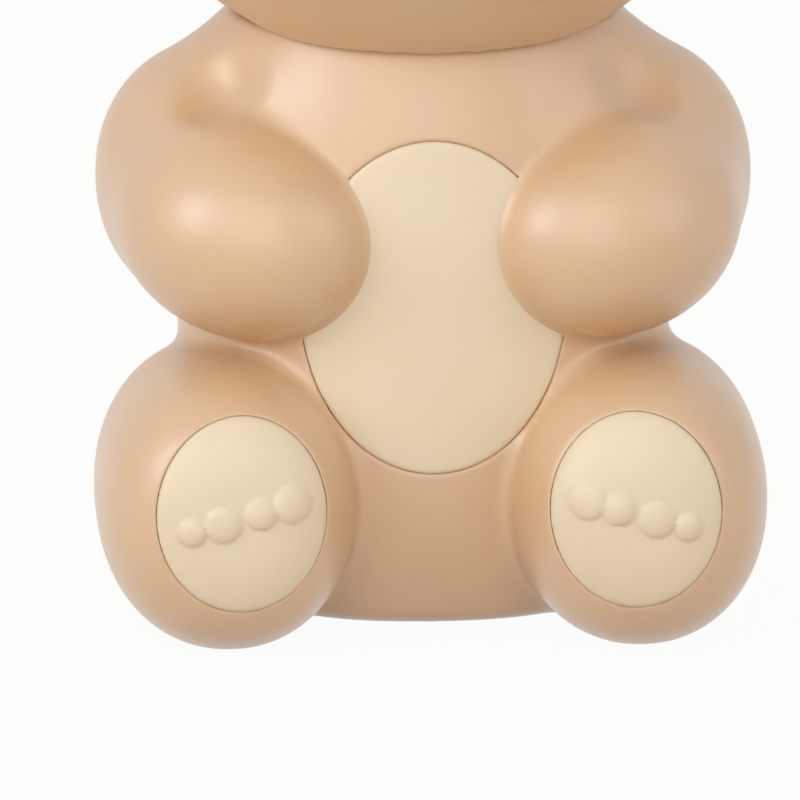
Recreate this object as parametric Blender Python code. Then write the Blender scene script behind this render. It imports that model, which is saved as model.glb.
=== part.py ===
"""Touch-free foaming soap dispenser in the shape of a seated teddy bear.

The body is a two-half shell round a soap tank. The head lifts off it and carries the motor, the
foam pump, the battery, the boards and the nozzle. Metres, +Z up, the bear faces -Y, and the origin
is on the floor at the centre of the non-slip mat.
"""

import math

import bmesh
import bpy
import numpy as np
from mathutils import Matrix, Vector

# Gaps and walls shared by many pieces
FIT_GAP = 0.0003
SHELL_WALL = 0.0022

# Body: a barrel torso whose full height is cut off at the floor side and at the neck seam
TORSO_Y = 0.001
TORSO_MID_Z = 0.048
TORSO_RADII = (0.0385, 0.0345, 0.062)
TORSO_ROUNDNESS = 2.2
TORSO_BARREL = 2.6
TORSO_BASE_Z = 0.0012
BODY_TOP_Z = 0.0947
BODY_SPLIT_Y = 0.004

# Arms: an upright egg for the upper arm run into a lying one that ends in the paw on the belly
SHOULDER_AT = (0.0313, 0, 0.0682)
SHOULDER_RADII = (0.0201, 0.0225, 0.0214)
SHOULDER_ROUNDNESS = 2.1
ARM_AT = (0.0282, -0.0245, 0.0638)
ARM_RADII = (0.0195, 0.0162, 0.0164)
ARM_SWEEP = math.radians(19)
ARM_RISE = math.radians(8)
PAW_CREASE = 0.0020
ELBOW_BLEND = 0.0120
SHOULDER_BLEND = 0.0090
CREASE_FADES_FROM_Z = 0.066
CREASE_FADES_TO_Z = 0.088

# Legs: fat barrels lying along Y, soles to the front
LEG_AT = (0.0321, -0.0205, 0.0219)
LEG_RADII = (0.0203, 0.0295, 0.0228)
LEG_ROUNDNESS = 2.1
LEG_BARREL = 3.0
LEG_BLEND = 0.0030

# Head: a wide flattened ball with a fuller chin, cut off at the seam
HEAD_AT = (0, -0.003, 0.127)
HEAD_RADII = (0.048, 0.044, 0.038)
HEAD_ROUNDNESS = 2.1
HEAD_BARREL = 2.2
CHIN_AT = (0, -0.017, 0.104)
CHIN_RADII = (0.030, 0.017, 0.0135)
CHIN_BLEND = 0.004

# Cream inserts
BELLY_Z = 0.0534
BELLY_HALF_WIDTH = 0.0206
BELLY_HALF_HEIGHT = 0.0262
BELLY_PROUD = 0.0003
BELLY_BEHIND_WALL = 0.0014
BELLY_FLANGE_WIDTH = 0.0024
BELLY_FLANGE_THICKNESS = 0.0010
SOLE_X = 0.0306
SOLE_Z = 0.0243
SOLE_HALF_WIDTH = 0.0132
SOLE_HALF_HEIGHT = 0.0151
SOLE_THICKNESS = 0.0020
SOLE_PROUD = 0.0003
SOLE_STUD_RADIUS = 0.0015
SOLE_ROW_TILT = math.radians(15)
SOLE_BUBBLE_RISE = 0.0009
SOLE_BUBBLES = ((-0.0082, 0.0022), (-0.0031, 0.0029), (0.0030, 0.0025), (0.0081, 0.0030))

# Floor, base plate and mat
FLOOR_TOP_Z = 0.0062
LEG_CAVITY_FRONT_Y = -0.0454
BASE_HALF_WIDTH = 0.0285
BASE_HALF_DEPTH = 0.0250
BASE_BOTTOM_Z = 0.0014
BASE_TOP_Z = 0.0036
BASE_BOSS_TOP_Z = 0.0130
BASE_SCREWS = ((-0.0205, -0.0125), (0.0205, -0.0125), (-0.0205, 0.0150), (0.0205, 0.0150))
MAT_HALF_WIDTH = 0.0150
MAT_HALF_DEPTH = 0.0110
MAT_TOP_Z = 0.0022

# Soap tank and its neck
TANK_INSET = 0.0047
TANK_WALL = 0.0016
TANK_FLOOR_Z = 0.0150
TANK_SHOULDER_Z = 0.0790
TANK_FOOT_RADIUS = 0.0140
NECK_Y = -0.003
NECK_RADIUS = 0.0212
NECK_TOP_Z = 0.0944

# Head shell, its floor and the plate that closes it
SEAM_GAP = 0.0006
HEAD_SEAM_Z = 0.0950
HEAD_FLOOR_Z = 0.0985
HEAD_FLOOR_TOP_Z = 0.1001
HEAD_BASE_HALF_WIDTH = 0.0255
HEAD_BASE_HALF_DEPTH = 0.0219
HEAD_BASE_TOP_Z = 0.0982
HEAD_BASE_WEB_Z = 0.0964
HEAD_SCREWS = ((-0.0203, -0.0115), (0.0203, -0.0115), (-0.0203, 0.0055), (0.0203, 0.0055))
HEAD_BOSS_TOP_Z = 0.1070
SPIGOT_RADIUS = 0.0192
SPIGOT_BORE_RADIUS = 0.0159
SPIGOT_TIP_Z = 0.0850
SEAL_GROOVE_RADIUS = 0.0176
SEAL_LOW_Z = 0.0902
SEAL_HIGH_Z = 0.0928

# Foam pump, stacked upward on the neck's axis under the motor
PUMP_HALF = 0.0132
PUMP_SQUARENESS = 5.0
PUMP_COVER_Z = 0.1010
VALVE_PLATE_Z = 0.1048
DIAPHRAGM_Z = 0.1071
PUMP_HOUSING_Z = 0.1086
PUMP_HOUSING_TOP_Z = 0.1223
PUMP_CAVITY_RADIUS = 0.0112
PUMP_SCREWS = [(x, NECK_Y + y) for x in (-0.0096, 0.0096) for y in (-0.0096, 0.0096)]
PUMP_SCREW_TIP_Z = 0.1140
CUP_RING_RADIUS = 0.0060
CUP_RADIUS = 0.0034
CUP_TOP_Z = 0.1130
SWING_Z = 0.1150
SWING_RADIUS = 0.0095
SWING_TILT = math.radians(4)
CAM_LOW_Z = 0.1172
CAM_HIGH_Z = 0.1200
CAM_RADIUS = 0.0060
CAM_PIN_RADIUS = 0.0008
CAM_PIN_THROW = 0.0016
SHAFT_RADIUS = 0.0010
MOTOR_RADIUS = 0.0102
MOTOR_LOW_Z = 0.1226
MOTOR_HIGH_Z = 0.1470

# Tubes: hose runs from the pump outlet up behind the muzzle and down into the nozzle
TUBE_RADIUS = 0.0023
TUBE_BORE_RADIUS = 0.0018
BARB_RADIUS = 0.0015
DIP_TUBE_Y = 0.006
DIP_TUBE_TOP_Z = 0.0995
DIP_TUBE_TIP_Z = 0.0190
STRAINER_RADIUS = 0.0038
STRAINER_LOW_Z = 0.0172
STRAINER_HIGH_Z = 0.0230
OUTLET_Z = 0.1027
OUTLET_TIP_Y = -0.0210
FOAM_PATH = ((-0.0175, 0.1027), (-0.0225, 0.1027), (-0.0275, 0.1045), (-0.0312, 0.1090), (-0.0330, 0.1150),
             (-0.0345, 0.1210), (-0.0385, 0.1262), (-0.0440, 0.1280), (-0.0500, 0.1275), (-0.0532, 0.1258),
             (-0.0540, 0.1230), (-0.0540, 0.1200))

# Muzzle with the nozzle and the hand sensor in its underside
MUZZLE_AT = (0, -0.042, 0.1235)
MUZZLE_RADII = (0.0200, 0.0200, 0.0130)
MUZZLE_WALL = 0.0020
NOZZLE_Y = -0.054
NOZZLE_RADIUS = 0.0040
NOZZLE_BORE_RADIUS = 0.0031
NOZZLE_LOW_Z = 0.1112
NOZZLE_HIGH_Z = 0.1190
SCREEN_RADIUS = 0.0023
SENSOR_Y = -0.0476
SENSOR_RADIUS = 0.0019
NOSE_AT = (0, -0.0594, 0.1300)
NOSE_RADII = (0.0055, 0.0030, 0.0040)
EYE_X = 0.0170
EYE_Z = 0.1385
EYE_HALF_WIDTH = 0.0033
EYE_HALF_HEIGHT = 0.0038
EYE_RISE = 0.0016
PEG_RADIUS = 0.0012

# Ears
EAR_AT = (0.0330, -0.003, 0.1600)
EAR_RADII = (0.0140, 0.0075, 0.0140)
EAR_INNER_LIFT = 0.0016
EAR_INNER_RADIUS = 0.0082
EAR_INNER_PROUD = 0.0002
EAR_PEG_RADIUS = 0.0025
EAR_PEG_LENGTH = 0.0105

# Battery, boards and controls at the back of the head
BATTERY_RADIUS = 0.0070
BATTERY_HALF_LENGTH = 0.0250
BATTERY_Y = 0.0190
BATTERY_Z = 0.1260
BOARD_Y = 0.0299
BOARD_THICKNESS = 0.0016
BUTTON_Z = 0.1300
BUTTON_RADIUS = 0.0060
BUTTON_FLANGE_RADIUS = 0.0069
BUTTON_INNER_Y = 0.0358
BUTTON_PROUD = 0.0006
SWITCH_TIP_Y = 0.0349
LIGHT_Z = 0.1208
LIGHT_RADIUS = 0.0010
PORT_Z = 0.1140
PORT_HALF_WIDTH = 0.0048
PORT_HALF_HEIGHT = 0.0020
FLAP_HALF_WIDTH = 0.0065
FLAP_HALF_HEIGHT = 0.0036
FLAP_PROUD = 0.0004
FLAP_DEPTH = 0.0010

# Screws and the bosses they go into
BOSS_RADIUS = 0.0030
SCREW_PILOT_RADIUS = 0.0013
SCREW_RADIUS = 0.0010
SCREW_HEAD_RADIUS = 0.0020
SCREW_HEAD_HEIGHT = 0.0013

# Colours, linear
CARAMEL = (0.60, 0.38, 0.22)
CARAMEL_DARK = (0.40, 0.23, 0.12)
CREAM = (0.80, 0.68, 0.48)
TANK_TINT = (0.80, 0.84, 0.85)
RUBBER = (0.05, 0.05, 0.05)
SEAL_GREY = (0.25, 0.25, 0.26)
WHITE_PLASTIC = (0.75, 0.75, 0.73)
BROWN = (0.06, 0.03, 0.02)
SMOKE = (0.02, 0.02, 0.03)
BOARD_GREEN = (0.03, 0.18, 0.08)
CELL_BLUE = (0.05, 0.15, 0.40)
STEEL = (0.60, 0.60, 0.62)

# Mesh sizes of the free-form surfaces
OUTER_VOXEL = 0.0013
INNER_VOXEL = 0.0030
LIMB_START = 0.0012
ARM_VOXEL = 0.0024
ARM_TRIANGLES = 1200
BODY_TRIANGLES = 2200
BODY_INNER_TRIANGLES = 700
HEAD_VOXEL = 0.0026
HEAD_TRIANGLES = 800
HEAD_INNER_TRIANGLES = 260


def clear_scene():
    for old in list(bpy.data.objects):
        bpy.data.objects.remove(old)


# Implicit shapes: each takes an array of points and gives each point's distance to the surface

def superellipsoid(points, centre, radii, roundness, barrel, axis):
    """A ball stretched to radii. roundness squares its cross-section, barrel its length along axis."""
    across = [i for i in range(3) if i != axis]

    def level(at):
        q = np.abs(at - np.array(centre)) / np.array(radii)
        ring = (q[:, across[0]] ** roundness + q[:, across[1]] ** roundness) ** (barrel / roundness)
        return (ring + q[:, axis] ** barrel) ** (1 / barrel)

    return (level(points) - 1) / np.maximum(slope(level, points), 1 / max(radii) / 2)


def slope(function, points, step=1e-5):
    """The length of a function's gradient, by central differences."""
    parts = gradient(function, points, step)
    return np.linalg.norm(parts, axis=1)


def gradient(function, points, step=1e-5):
    parts = np.empty_like(points)
    for i in range(3):
        shift = np.zeros(3)
        shift[i] = step
        parts[:, i] = (function(points + shift) - function(points - shift)) / (2 * step)
    return parts


def smooth_union(first, second, blend):
    h = np.clip(0.5 + 0.5 * (second - first) / blend, 0, 1)
    return second * (1 - h) + first * h - blend * h * (1 - h)


def mirrored(points):
    """The points folded onto the +X side, for limbs that come in pairs."""
    return np.column_stack([np.abs(points[:, 0]), points[:, 1], points[:, 2]])


def ramp(values, low, high):
    """Rises smoothly from 0 at low to 1 at high."""
    t = np.clip((values - low) / (high - low), 0, 1)
    return t * t * (3 - 2 * t)


def torso_distance(points):
    middle = (0, TORSO_Y, TORSO_MID_Z)
    barrel = superellipsoid(points, middle, TORSO_RADII, TORSO_ROUNDNESS, TORSO_BARREL, 2)
    return -smooth_union(-barrel, points[:, 2] - TORSO_BASE_Z, 0.003)


def arm_turn():
    """Turns X to the direction from paw to elbow of the arm on the +X side."""
    return Matrix.Rotation(ARM_SWEEP, 3, "Z") @ Matrix.Rotation(-ARM_RISE, 3, "Y")


def arm_distance(points):
    side = mirrored(points)
    upper = superellipsoid(side, SHOULDER_AT, SHOULDER_RADII, SHOULDER_ROUNDNESS, SHOULDER_ROUNDNESS, 1)
    lower = superellipsoid((side - np.array(ARM_AT)) @ np.array(arm_turn()), (0, 0, 0), ARM_RADII, 2, 2, 0)
    return smooth_union(upper, lower, ELBOW_BLEND)


def leg_distance(points):
    return superellipsoid(mirrored(points), LEG_AT, LEG_RADII, LEG_ROUNDNESS, LEG_BARREL, 1)


def body_distance(points):
    """Torso and limbs in one skin: a crisp crease round each paw that fades out toward the shoulder."""
    fade = ramp(points[:, 2], CREASE_FADES_FROM_Z, CREASE_FADES_TO_Z)
    crease = PAW_CREASE + (SHOULDER_BLEND - PAW_CREASE) * fade
    seated = smooth_union(torso_distance(points), leg_distance(points), LEG_BLEND)
    return smooth_union(seated, arm_distance(points), crease)


def head_distance(points):
    ball = superellipsoid(points, HEAD_AT, HEAD_RADII, HEAD_ROUNDNESS, HEAD_BARREL, 2)
    return smooth_union(ball, superellipsoid(points, CHIN_AT, CHIN_RADII, 2, 2, 2), CHIN_BLEND)


# Blender helpers

def object_from(name, bm):
    mesh = bpy.data.meshes.new(name)
    bm.to_mesh(mesh)
    bm.free()
    piece = bpy.data.objects.new(name, mesh)
    bpy.context.scene.collection.objects.link(piece)
    return piece


def evaluated(piece):
    """Replaces a piece's mesh by the result of its modifiers."""
    depsgraph = bpy.context.evaluated_depsgraph_get()
    mesh = bpy.data.meshes.new_from_object(piece.evaluated_get(depsgraph))
    piece.modifiers.clear()
    piece.data = mesh
    return piece


def boolean(piece, operation, others):
    for other in others:
        step = piece.modifiers.new(operation.lower(), "BOOLEAN")
        step.operation = operation
        step.solver = "EXACT"
        step.object = other
    evaluated(piece)
    for other in others:
        bpy.data.objects.remove(other)
    return piece


def cut(piece, *others):
    return boolean(piece, "DIFFERENCE", others)


def join(piece, *others):
    return boolean(piece, "UNION", others)


def keep(piece, other):
    return boolean(piece, "INTERSECT", [other])


def copy_of(piece, name):
    twin = piece.copy()
    twin.data = piece.data.copy()
    twin.name = name
    bpy.context.scene.collection.objects.link(twin)
    return twin


def points_of(piece):
    flat = np.empty(len(piece.data.vertices) * 3)
    piece.data.vertices.foreach_get("co", flat)
    return flat.reshape(-1, 3)


def balls(name, places, segments=32, rings=20):
    """UV spheres at (centre, radii), joined into one mesh."""
    bm = bmesh.new()
    for centre, radii in places:
        shape = Matrix.Translation(centre) @ Matrix.Diagonal((*radii, 1))
        bmesh.ops.create_uvsphere(bm, u_segments=segments, v_segments=rings, radius=1, matrix=shape)
    return object_from(name, bm)


def soft_solid(name, places, distance, offset, voxel, triangles):
    """One smooth closed skin: rough balls are remeshed, drawn onto distance = offset, then thinned."""
    piece = balls(name, places)
    remesh = piece.modifiers.new("remesh", "REMESH")
    remesh.mode = "VOXEL"
    remesh.voxel_size = voxel
    evaluated(piece)
    draw_onto(piece, distance, offset, relax=3)
    remesh = piece.modifiers.new("remesh", "REMESH")
    remesh.mode = "VOXEL"
    remesh.voxel_size = voxel
    evaluated(piece)
    draw_onto(piece, distance, offset, relax=1)
    thin = piece.modifiers.new("thin", "DECIMATE")
    thin.ratio = min(1.0, triangles / (2 * len(piece.data.polygons)))
    return evaluated(piece)


def draw_onto(piece, distance, offset, relax):
    """Moves each vertex along the gradient until it lies on the surface, evening out the faces between."""
    for turn in range(relax + 1):
        at = points_of(piece)
        for _ in range(4):
            way = gradient(distance, at)
            length = np.maximum(np.linalg.norm(way, axis=1), 0.5)
            step = (distance(at) - offset) / length**2
            at = at - way * np.clip(step, -0.003, 0.003)[:, None]
        piece.data.vertices.foreach_set("co", at.ravel())
        if turn < relax:
            bm = bmesh.new()
            bm.from_mesh(piece.data)
            bmesh.ops.smooth_vert(bm, verts=bm.verts, factor=0.5, use_axis_x=True, use_axis_y=True,
                                  use_axis_z=True)
            bm.to_mesh(piece.data)
            bm.free()


def box(name, low, high):
    bm = bmesh.new()
    size = [h - l for l, h in zip(low, high)]
    centre = [(l + h) / 2 for l, h in zip(low, high)]
    bmesh.ops.create_cube(bm, size=1, matrix=Matrix.Translation(centre) @ Matrix.Diagonal((*size, 1)))
    return object_from(name, bm)


def stacked(name, rings):
    """A solid through rings of equal point counts, closed by a flat face at each end."""
    bm = bmesh.new()
    loops = [[bm.verts.new(at) for at in ring] for ring in rings]
    count = len(loops[0])
    for lower, upper in zip(loops, loops[1:]):
        for i in range(count):
            j = (i + 1) % count
            bm.faces.new((lower[i], lower[j], upper[j], upper[i]))
    bm.faces.new(loops[0][::-1])
    bm.faces.new(loops[-1])
    bmesh.ops.recalc_face_normals(bm, faces=bm.faces)
    return object_from(name, bm)


def oval(centre, half_width, half_depth, height, segments=48, roundness=2.0):
    """A ring of points in a level plane; roundness above 2 squares it."""
    ring = []
    for i in range(segments):
        turn = 2 * math.pi * i / segments
        c, s = math.cos(turn), math.sin(turn)
        x = half_width * math.copysign(abs(c) ** (2 / roundness), c)
        y = half_depth * math.copysign(abs(s) ** (2 / roundness), s)
        ring.append((centre[0] + x, centre[1] + y, height))
    return ring


def prism(name, centre, half_width, half_depth, low, high, segments=48, roundness=2.0):
    return stacked(name, [oval(centre, half_width, half_depth, z, segments, roundness) for z in (low, high)])


def disc(name, centre, radius, low, high, segments=24):
    return prism(name, centre, radius, radius, low, high, segments)


def turned(name, centre, profile, segments=24):
    """A solid of revolution about a vertical axis from (radius, height) pairs, bottom to top."""
    return stacked(name, [oval(centre, r, r, z, segments) for r, z in profile])


def pointed(piece, at, along):
    """Turns a piece built about the vertical through the origin so +Z points along, then moves it."""
    turn = Vector((0, 0, 1)).rotation_difference(Vector(along)).to_matrix().to_4x4()
    piece.data.transform(Matrix.Translation(at) @ turn)
    return piece


def surface_y(distance, offset, x, z, outside_y, inside_y):
    """Where a line along Y through (x, z) meets distance = offset, found by halving."""
    x, z = np.asarray(x, dtype=float), np.asarray(z, dtype=float)
    near, far = np.full(x.shape, outside_y), np.full(x.shape, inside_y)
    for _ in range(30):
        middle = (near + far) / 2
        outside = distance(np.column_stack([x, middle, z])) > offset
        near, far = np.where(outside, middle, near), np.where(outside, far, middle)
    return (near + far) / 2


def shield(name, centre, half_width, half_height, front, back, rings=4, segments=40):
    """An oval plate seen from the front; front and back give its two faces' y for arrays of x and z."""
    bm = bmesh.new()
    turns = np.linspace(0, 2 * np.pi, segments, endpoint=False)
    sides = []
    for face in (front, back):
        loops = []
        for k in range(1, rings + 1):
            x = centre[0] + half_width * k / rings * np.cos(turns)
            z = centre[1] + half_height * k / rings * np.sin(turns)
            loops.append([bm.verts.new(at) for at in zip(x, face(x, z), z)])
        middle = bm.verts.new((centre[0], face(np.array([centre[0]]), np.array([centre[1]]))[0], centre[1]))
        for i in range(segments):
            j = (i + 1) % segments
            bm.faces.new((middle, loops[0][i], loops[0][j]))
            for small, large in zip(loops, loops[1:]):
                bm.faces.new((small[i], large[i], large[j], small[j]))
        sides.append(loops[-1])
    for i in range(segments):
        j = (i + 1) % segments
        bm.faces.new((sides[0][i], sides[1][i], sides[1][j], sides[0][j]))
    bmesh.ops.recalc_face_normals(bm, faces=bm.faces)
    return object_from(name, bm)


def face_of(distance, offset):
    """The front face of a shape's surface, moved out by offset, for shield."""
    return lambda x, z: surface_y(distance, offset, x, z, -0.080, 0.0)


def flat_at(y):
    return lambda x, z: np.full(np.shape(x), y)


def finish(piece, colour, roughness, metal=0.0, clear=0.0, sharp_angle=35):
    """Gives a piece its own material and shades it smooth between sharp edges."""
    material = bpy.data.materials.new(piece.name)
    material.use_nodes = True
    shader = material.node_tree.nodes["Principled BSDF"]
    shader.inputs["Base Color"].default_value = (*colour, 1)
    shader.inputs["Roughness"].default_value = roughness
    shader.inputs["Metallic"].default_value = metal
    shader.inputs["Transmission Weight"].default_value = clear
    material.diffuse_color = (*colour, 1)
    piece.data.materials.clear()
    piece.data.materials.append(material)
    piece.data.shade_smooth()
    piece.data.set_sharp_from_angle(angle=math.radians(sharp_angle))
    return piece


def pivot_at(piece, at):
    """Moves a piece's origin without moving its faces."""
    piece.data.transform(Matrix.Translation([-v for v in at]))
    piece.location = at
    return piece


# Body pieces

def both_sides(shapes, inset):
    """Each shape's centre and radii, less inset, on the left and on the right."""
    return [((side * at[0], at[1], at[2]), [r - inset for r in radii]) for at, radii in shapes
            for side in (-1, 1)]


def body_places(inset):
    """Balls inside torso and limbs, the limbs' small enough that arms and legs start apart."""
    trunk = ((0, TORSO_Y, TORSO_MID_Z), [r - inset for r in TORSO_RADII])
    limbs = ((LEG_AT, LEG_RADII), (SHOULDER_AT, SHOULDER_RADII), (ARM_AT, ARM_RADII))
    return [trunk] + both_sides(limbs, inset + LIMB_START)


def arm_solid(name, offset):
    places = both_sides(((SHOULDER_AT, SHOULDER_RADII), (ARM_AT, ARM_RADII)), -offset)
    return soft_solid(name, places, arm_distance, offset, ARM_VOXEL, ARM_TRIANGLES)


def body_shells():
    """The hollow body with its floor, neck opening, belly window and sole recesses, in two halves."""
    shell = soft_solid("body", body_places(0), body_distance, 0, OUTER_VOXEL, BODY_TRIANGLES)
    cut(shell, box("above", (-0.1, -0.1, BODY_TOP_Z), (0.1, 0.1, 0.2)),
        box("below", (-0.1, -0.1, -0.05), (0.1, 0.1, 0)))
    hollow = soft_solid("hollow", body_places(SHELL_WALL), body_distance, -SHELL_WALL, INNER_VOXEL,
                        BODY_INNER_TRIANGLES)
    cut(hollow, box("deck", (-0.1, -0.1, BODY_TOP_Z - SHELL_WALL), (0.1, 0.1, 0.2)),
        box("toes", (-0.1, -0.1, -0.05), (0.1, LEG_CAVITY_FRONT_Y, 0.05)),
        prism("floor", (0, TORSO_Y), 0.0320, 0.0285, -0.01, FLOOR_TOP_Z, 24))
    cut(shell, hollow)
    cut(shell, prism("base_recess", (0, TORSO_Y), BASE_HALF_WIDTH + FIT_GAP, BASE_HALF_DEPTH + FIT_GAP, -0.01,
                     BASE_TOP_Z + FIT_GAP, 32),
        disc("floor_hole", (0, TORSO_Y), TANK_FOOT_RADIUS + 0.0015, 0, FLOOR_TOP_Z + 0.001, 24),
        disc("neck_hole", (0, NECK_Y), NECK_RADIUS + FIT_GAP, 0.085, 0.1, 28))
    window = shield("window", (0, BELLY_Z), BELLY_HALF_WIDTH + FIT_GAP, BELLY_HALF_HEIGHT + FIT_GAP,
                    flat_at(-0.060), face_of(torso_distance, -0.0040), 1, 32)
    cut(shell, cut(window, arm_solid("arms", FIT_GAP)))
    for side in (-1, 1):
        cut(shell, shield("sole_recess", (side * SOLE_X, SOLE_Z), SOLE_HALF_WIDTH + FIT_GAP,
                          SOLE_HALF_HEIGHT + FIT_GAP, flat_at(-0.060),
                          face_of(leg_distance, SOLE_PROUD - SOLE_THICKNESS - FIT_GAP), 2, 24),
            pointed(disc("stud_hole", (0, 0), SOLE_STUD_RADIUS + FIT_GAP, 0, 0.012, 10),
                    (side * SOLE_X, -0.052, SOLE_Z), (0, 1, 0)))
    for x, y in BASE_SCREWS:
        join(shell, disc("boss", (x, y), BOSS_RADIUS, FLOOR_TOP_Z - 0.001, BASE_BOSS_TOP_Z, 12))
        cut(shell, disc("pilot", (x, y), SCREW_PILOT_RADIUS, 0, BASE_BOSS_TOP_Z - 0.002, 8))
    rear = copy_of(shell, "body_rear_shell")
    cut(rear, box("front", (-0.1, -0.1, -0.01), (0.1, BODY_SPLIT_Y + FIT_GAP / 2, 0.2)))
    front = shell
    front.name = "body_front_shell"
    cut(front, box("rear", (-0.1, BODY_SPLIT_Y - FIT_GAP / 2, -0.01), (0.1, 0.1, 0.2)))
    for half in (front, rear):
        finish(half, CARAMEL, 0.35)
    return [front, rear]


def belly_panel():
    """The cream inset: a plate flush in the window, notched round the paws, on a flange behind the wall."""
    panel = shield("belly_panel", (0, BELLY_Z), BELLY_HALF_WIDTH, BELLY_HALF_HEIGHT,
                   face_of(torso_distance, BELLY_PROUD),
                   face_of(torso_distance, -SHELL_WALL - BELLY_BEHIND_WALL), 3, 32)
    cut(panel, arm_solid("arms", 3 * FIT_GAP))
    flange_front = -SHELL_WALL - 2.5 * FIT_GAP
    flange = shield("flange", (0, BELLY_Z), BELLY_HALF_WIDTH + BELLY_FLANGE_WIDTH,
                    BELLY_HALF_HEIGHT + BELLY_FLANGE_WIDTH, face_of(torso_distance, flange_front),
                    face_of(torso_distance, flange_front - BELLY_FLANGE_THICKNESS), 2, 28)
    return [finish(join(panel, flange), CREAM, 0.4)]


def sole_pads():
    """Cream discs let into the soles, each with a stud behind and a slanting row of bubbles in front."""
    pads = []
    for side, label in ((1, "left"), (-1, "right")):
        pad = shield(f"{label}_sole_pad", (side * SOLE_X, SOLE_Z), SOLE_HALF_WIDTH, SOLE_HALF_HEIGHT,
                     face_of(leg_distance, SOLE_PROUD), face_of(leg_distance, SOLE_PROUD - SOLE_THICKNESS),
                     2, 24)
        stud = disc("stud", (0, 0), SOLE_STUD_RADIUS, 0, 0.0036, 10)
        parts = [pointed(stud, (side * SOLE_X, -0.0489, SOLE_Z), (0, 1, 0))]
        for along, radius in SOLE_BUBBLES:
            x = side * (SOLE_X - along * math.cos(SOLE_ROW_TILT))
            z = SOLE_Z + along * math.sin(SOLE_ROW_TILT)
            y = surface_y(leg_distance, SOLE_PROUD, [x], [z], -0.080, 0.0)[0]
            parts.append(balls("bubble", [((x, y, z), (radius, SOLE_BUBBLE_RISE, radius))], 8, 4))
        pads.append(finish(join(pad, *parts), CREAM, 0.4))
    return pads


def soap_tank():
    """An open-necked bottle that follows the torso's inside."""
    def ring(z, inset):
        level = 1 - (abs(z - TORSO_MID_Z) / TORSO_RADII[2]) ** TORSO_BARREL
        half_width, half_depth = [r * level ** (1 / TORSO_BARREL) - inset for r in TORSO_RADII[:2]]
        return oval((0, TORSO_Y), half_width, half_depth, z, 24, TORSO_ROUNDNESS)

    def bottle(name, wall, floor, top):
        inset = TANK_INSET + wall
        heel = ((0, 0.0032), (0.0012, 0.0008), (0.0036, 0))
        rings = [ring(floor + up, inset + inward) for up, inward in heel]
        rings += [ring(z, inset) for z in (0.045, 0.065, TANK_SHOULDER_Z)]
        rings.append(oval((0, NECK_Y + 0.001), 0.0262 - wall, 0.0242 - wall, 0.0845 - wall / 2, 24))
        rings += [oval((0, NECK_Y), NECK_RADIUS - wall, NECK_RADIUS - wall, z, 24) for z in (0.0875, top)]
        return stacked(name, rings)

    tank = bottle("soap_tank", 0, TANK_FLOOR_Z, NECK_TOP_Z)
    cut(tank, bottle("inside", TANK_WALL, TANK_FLOOR_Z + TANK_WALL, NECK_TOP_Z + 0.001))
    return [finish(tank, TANK_TINT, 0.25, clear=0.5)]


def base_pieces():
    """The screwed-on base plate with the ring that carries the tank, its mat and its four screws."""
    plate = prism("base_plate", (0, TORSO_Y), BASE_HALF_WIDTH, BASE_HALF_DEPTH, BASE_BOTTOM_Z, BASE_TOP_Z, 32)
    ring = disc("ring", (0, TORSO_Y), TANK_FOOT_RADIUS, BASE_TOP_Z - 0.001, TANK_FLOOR_Z - FIT_GAP, 18)
    join(plate, cut(ring, disc("bore", (0, TORSO_Y), TANK_FOOT_RADIUS - 0.0016, 0, 0.05, 18)))
    cut(plate, prism("mat_recess", (0, 0), MAT_HALF_WIDTH + FIT_GAP, MAT_HALF_DEPTH + FIT_GAP, 0,
                     MAT_TOP_Z + FIT_GAP, 28))
    screws = []
    for number, (x, y) in enumerate(BASE_SCREWS, 1):
        cut(plate, disc("way", (x, y), SCREW_RADIUS + FIT_GAP, 0, 0.01, 10),
            disc("seat", (x, y), SCREW_HEAD_RADIUS + FIT_GAP, 0,
                 BASE_BOTTOM_Z + SCREW_HEAD_HEIGHT + 0.0004, 12))
        screws.append(screw(f"base_screw_{number}", (x, y, BASE_BOTTOM_Z + 0.0002), BASE_BOSS_TOP_Z - 0.003))
    mat = prism("base_mat", (0, 0), MAT_HALF_WIDTH, MAT_HALF_DEPTH, 0, MAT_TOP_Z, 28)
    return [finish(plate, CARAMEL_DARK, 0.5), finish(mat, RUBBER, 0.9)] + screws


def screw(name, at, tip_z):
    """A pan-headed self-tapping screw driven upward."""
    x, y, z = at
    profile = [(SCREW_HEAD_RADIUS, z), (SCREW_HEAD_RADIUS, z + SCREW_HEAD_HEIGHT),
               (SCREW_RADIUS, z + SCREW_HEAD_HEIGHT), (SCREW_RADIUS, tip_z)]
    return finish(turned(name, (x, y), profile, 8), STEEL, 0.3, metal=1.0)


# Head pieces

def head_solid(name, offset, triangles):
    shapes = ((HEAD_AT, HEAD_RADII), (CHIN_AT, CHIN_RADII))
    places = [(at, [r + offset for r in radii]) for at, radii in shapes]
    return soft_solid(name, places, head_distance, offset, HEAD_VOXEL, triangles)


def ear_distance(points):
    return superellipsoid(points, EAR_AT, EAR_RADII, 2, 2, 1)


def muzzle_distance(points):
    return superellipsoid(points, MUZZLE_AT, MUZZLE_RADII, 2, 2, 1)


def ear_peg_way(side):
    way = Vector((-side * EAR_AT[0], 0, HEAD_AT[2] - EAR_AT[2]))
    return way.normalized()


def along(name, at, way, radius, length, segments=12):
    """A rod from at in the direction way."""
    return pointed(disc(name, (0, 0), radius, 0, length, segments), at, way)


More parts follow.
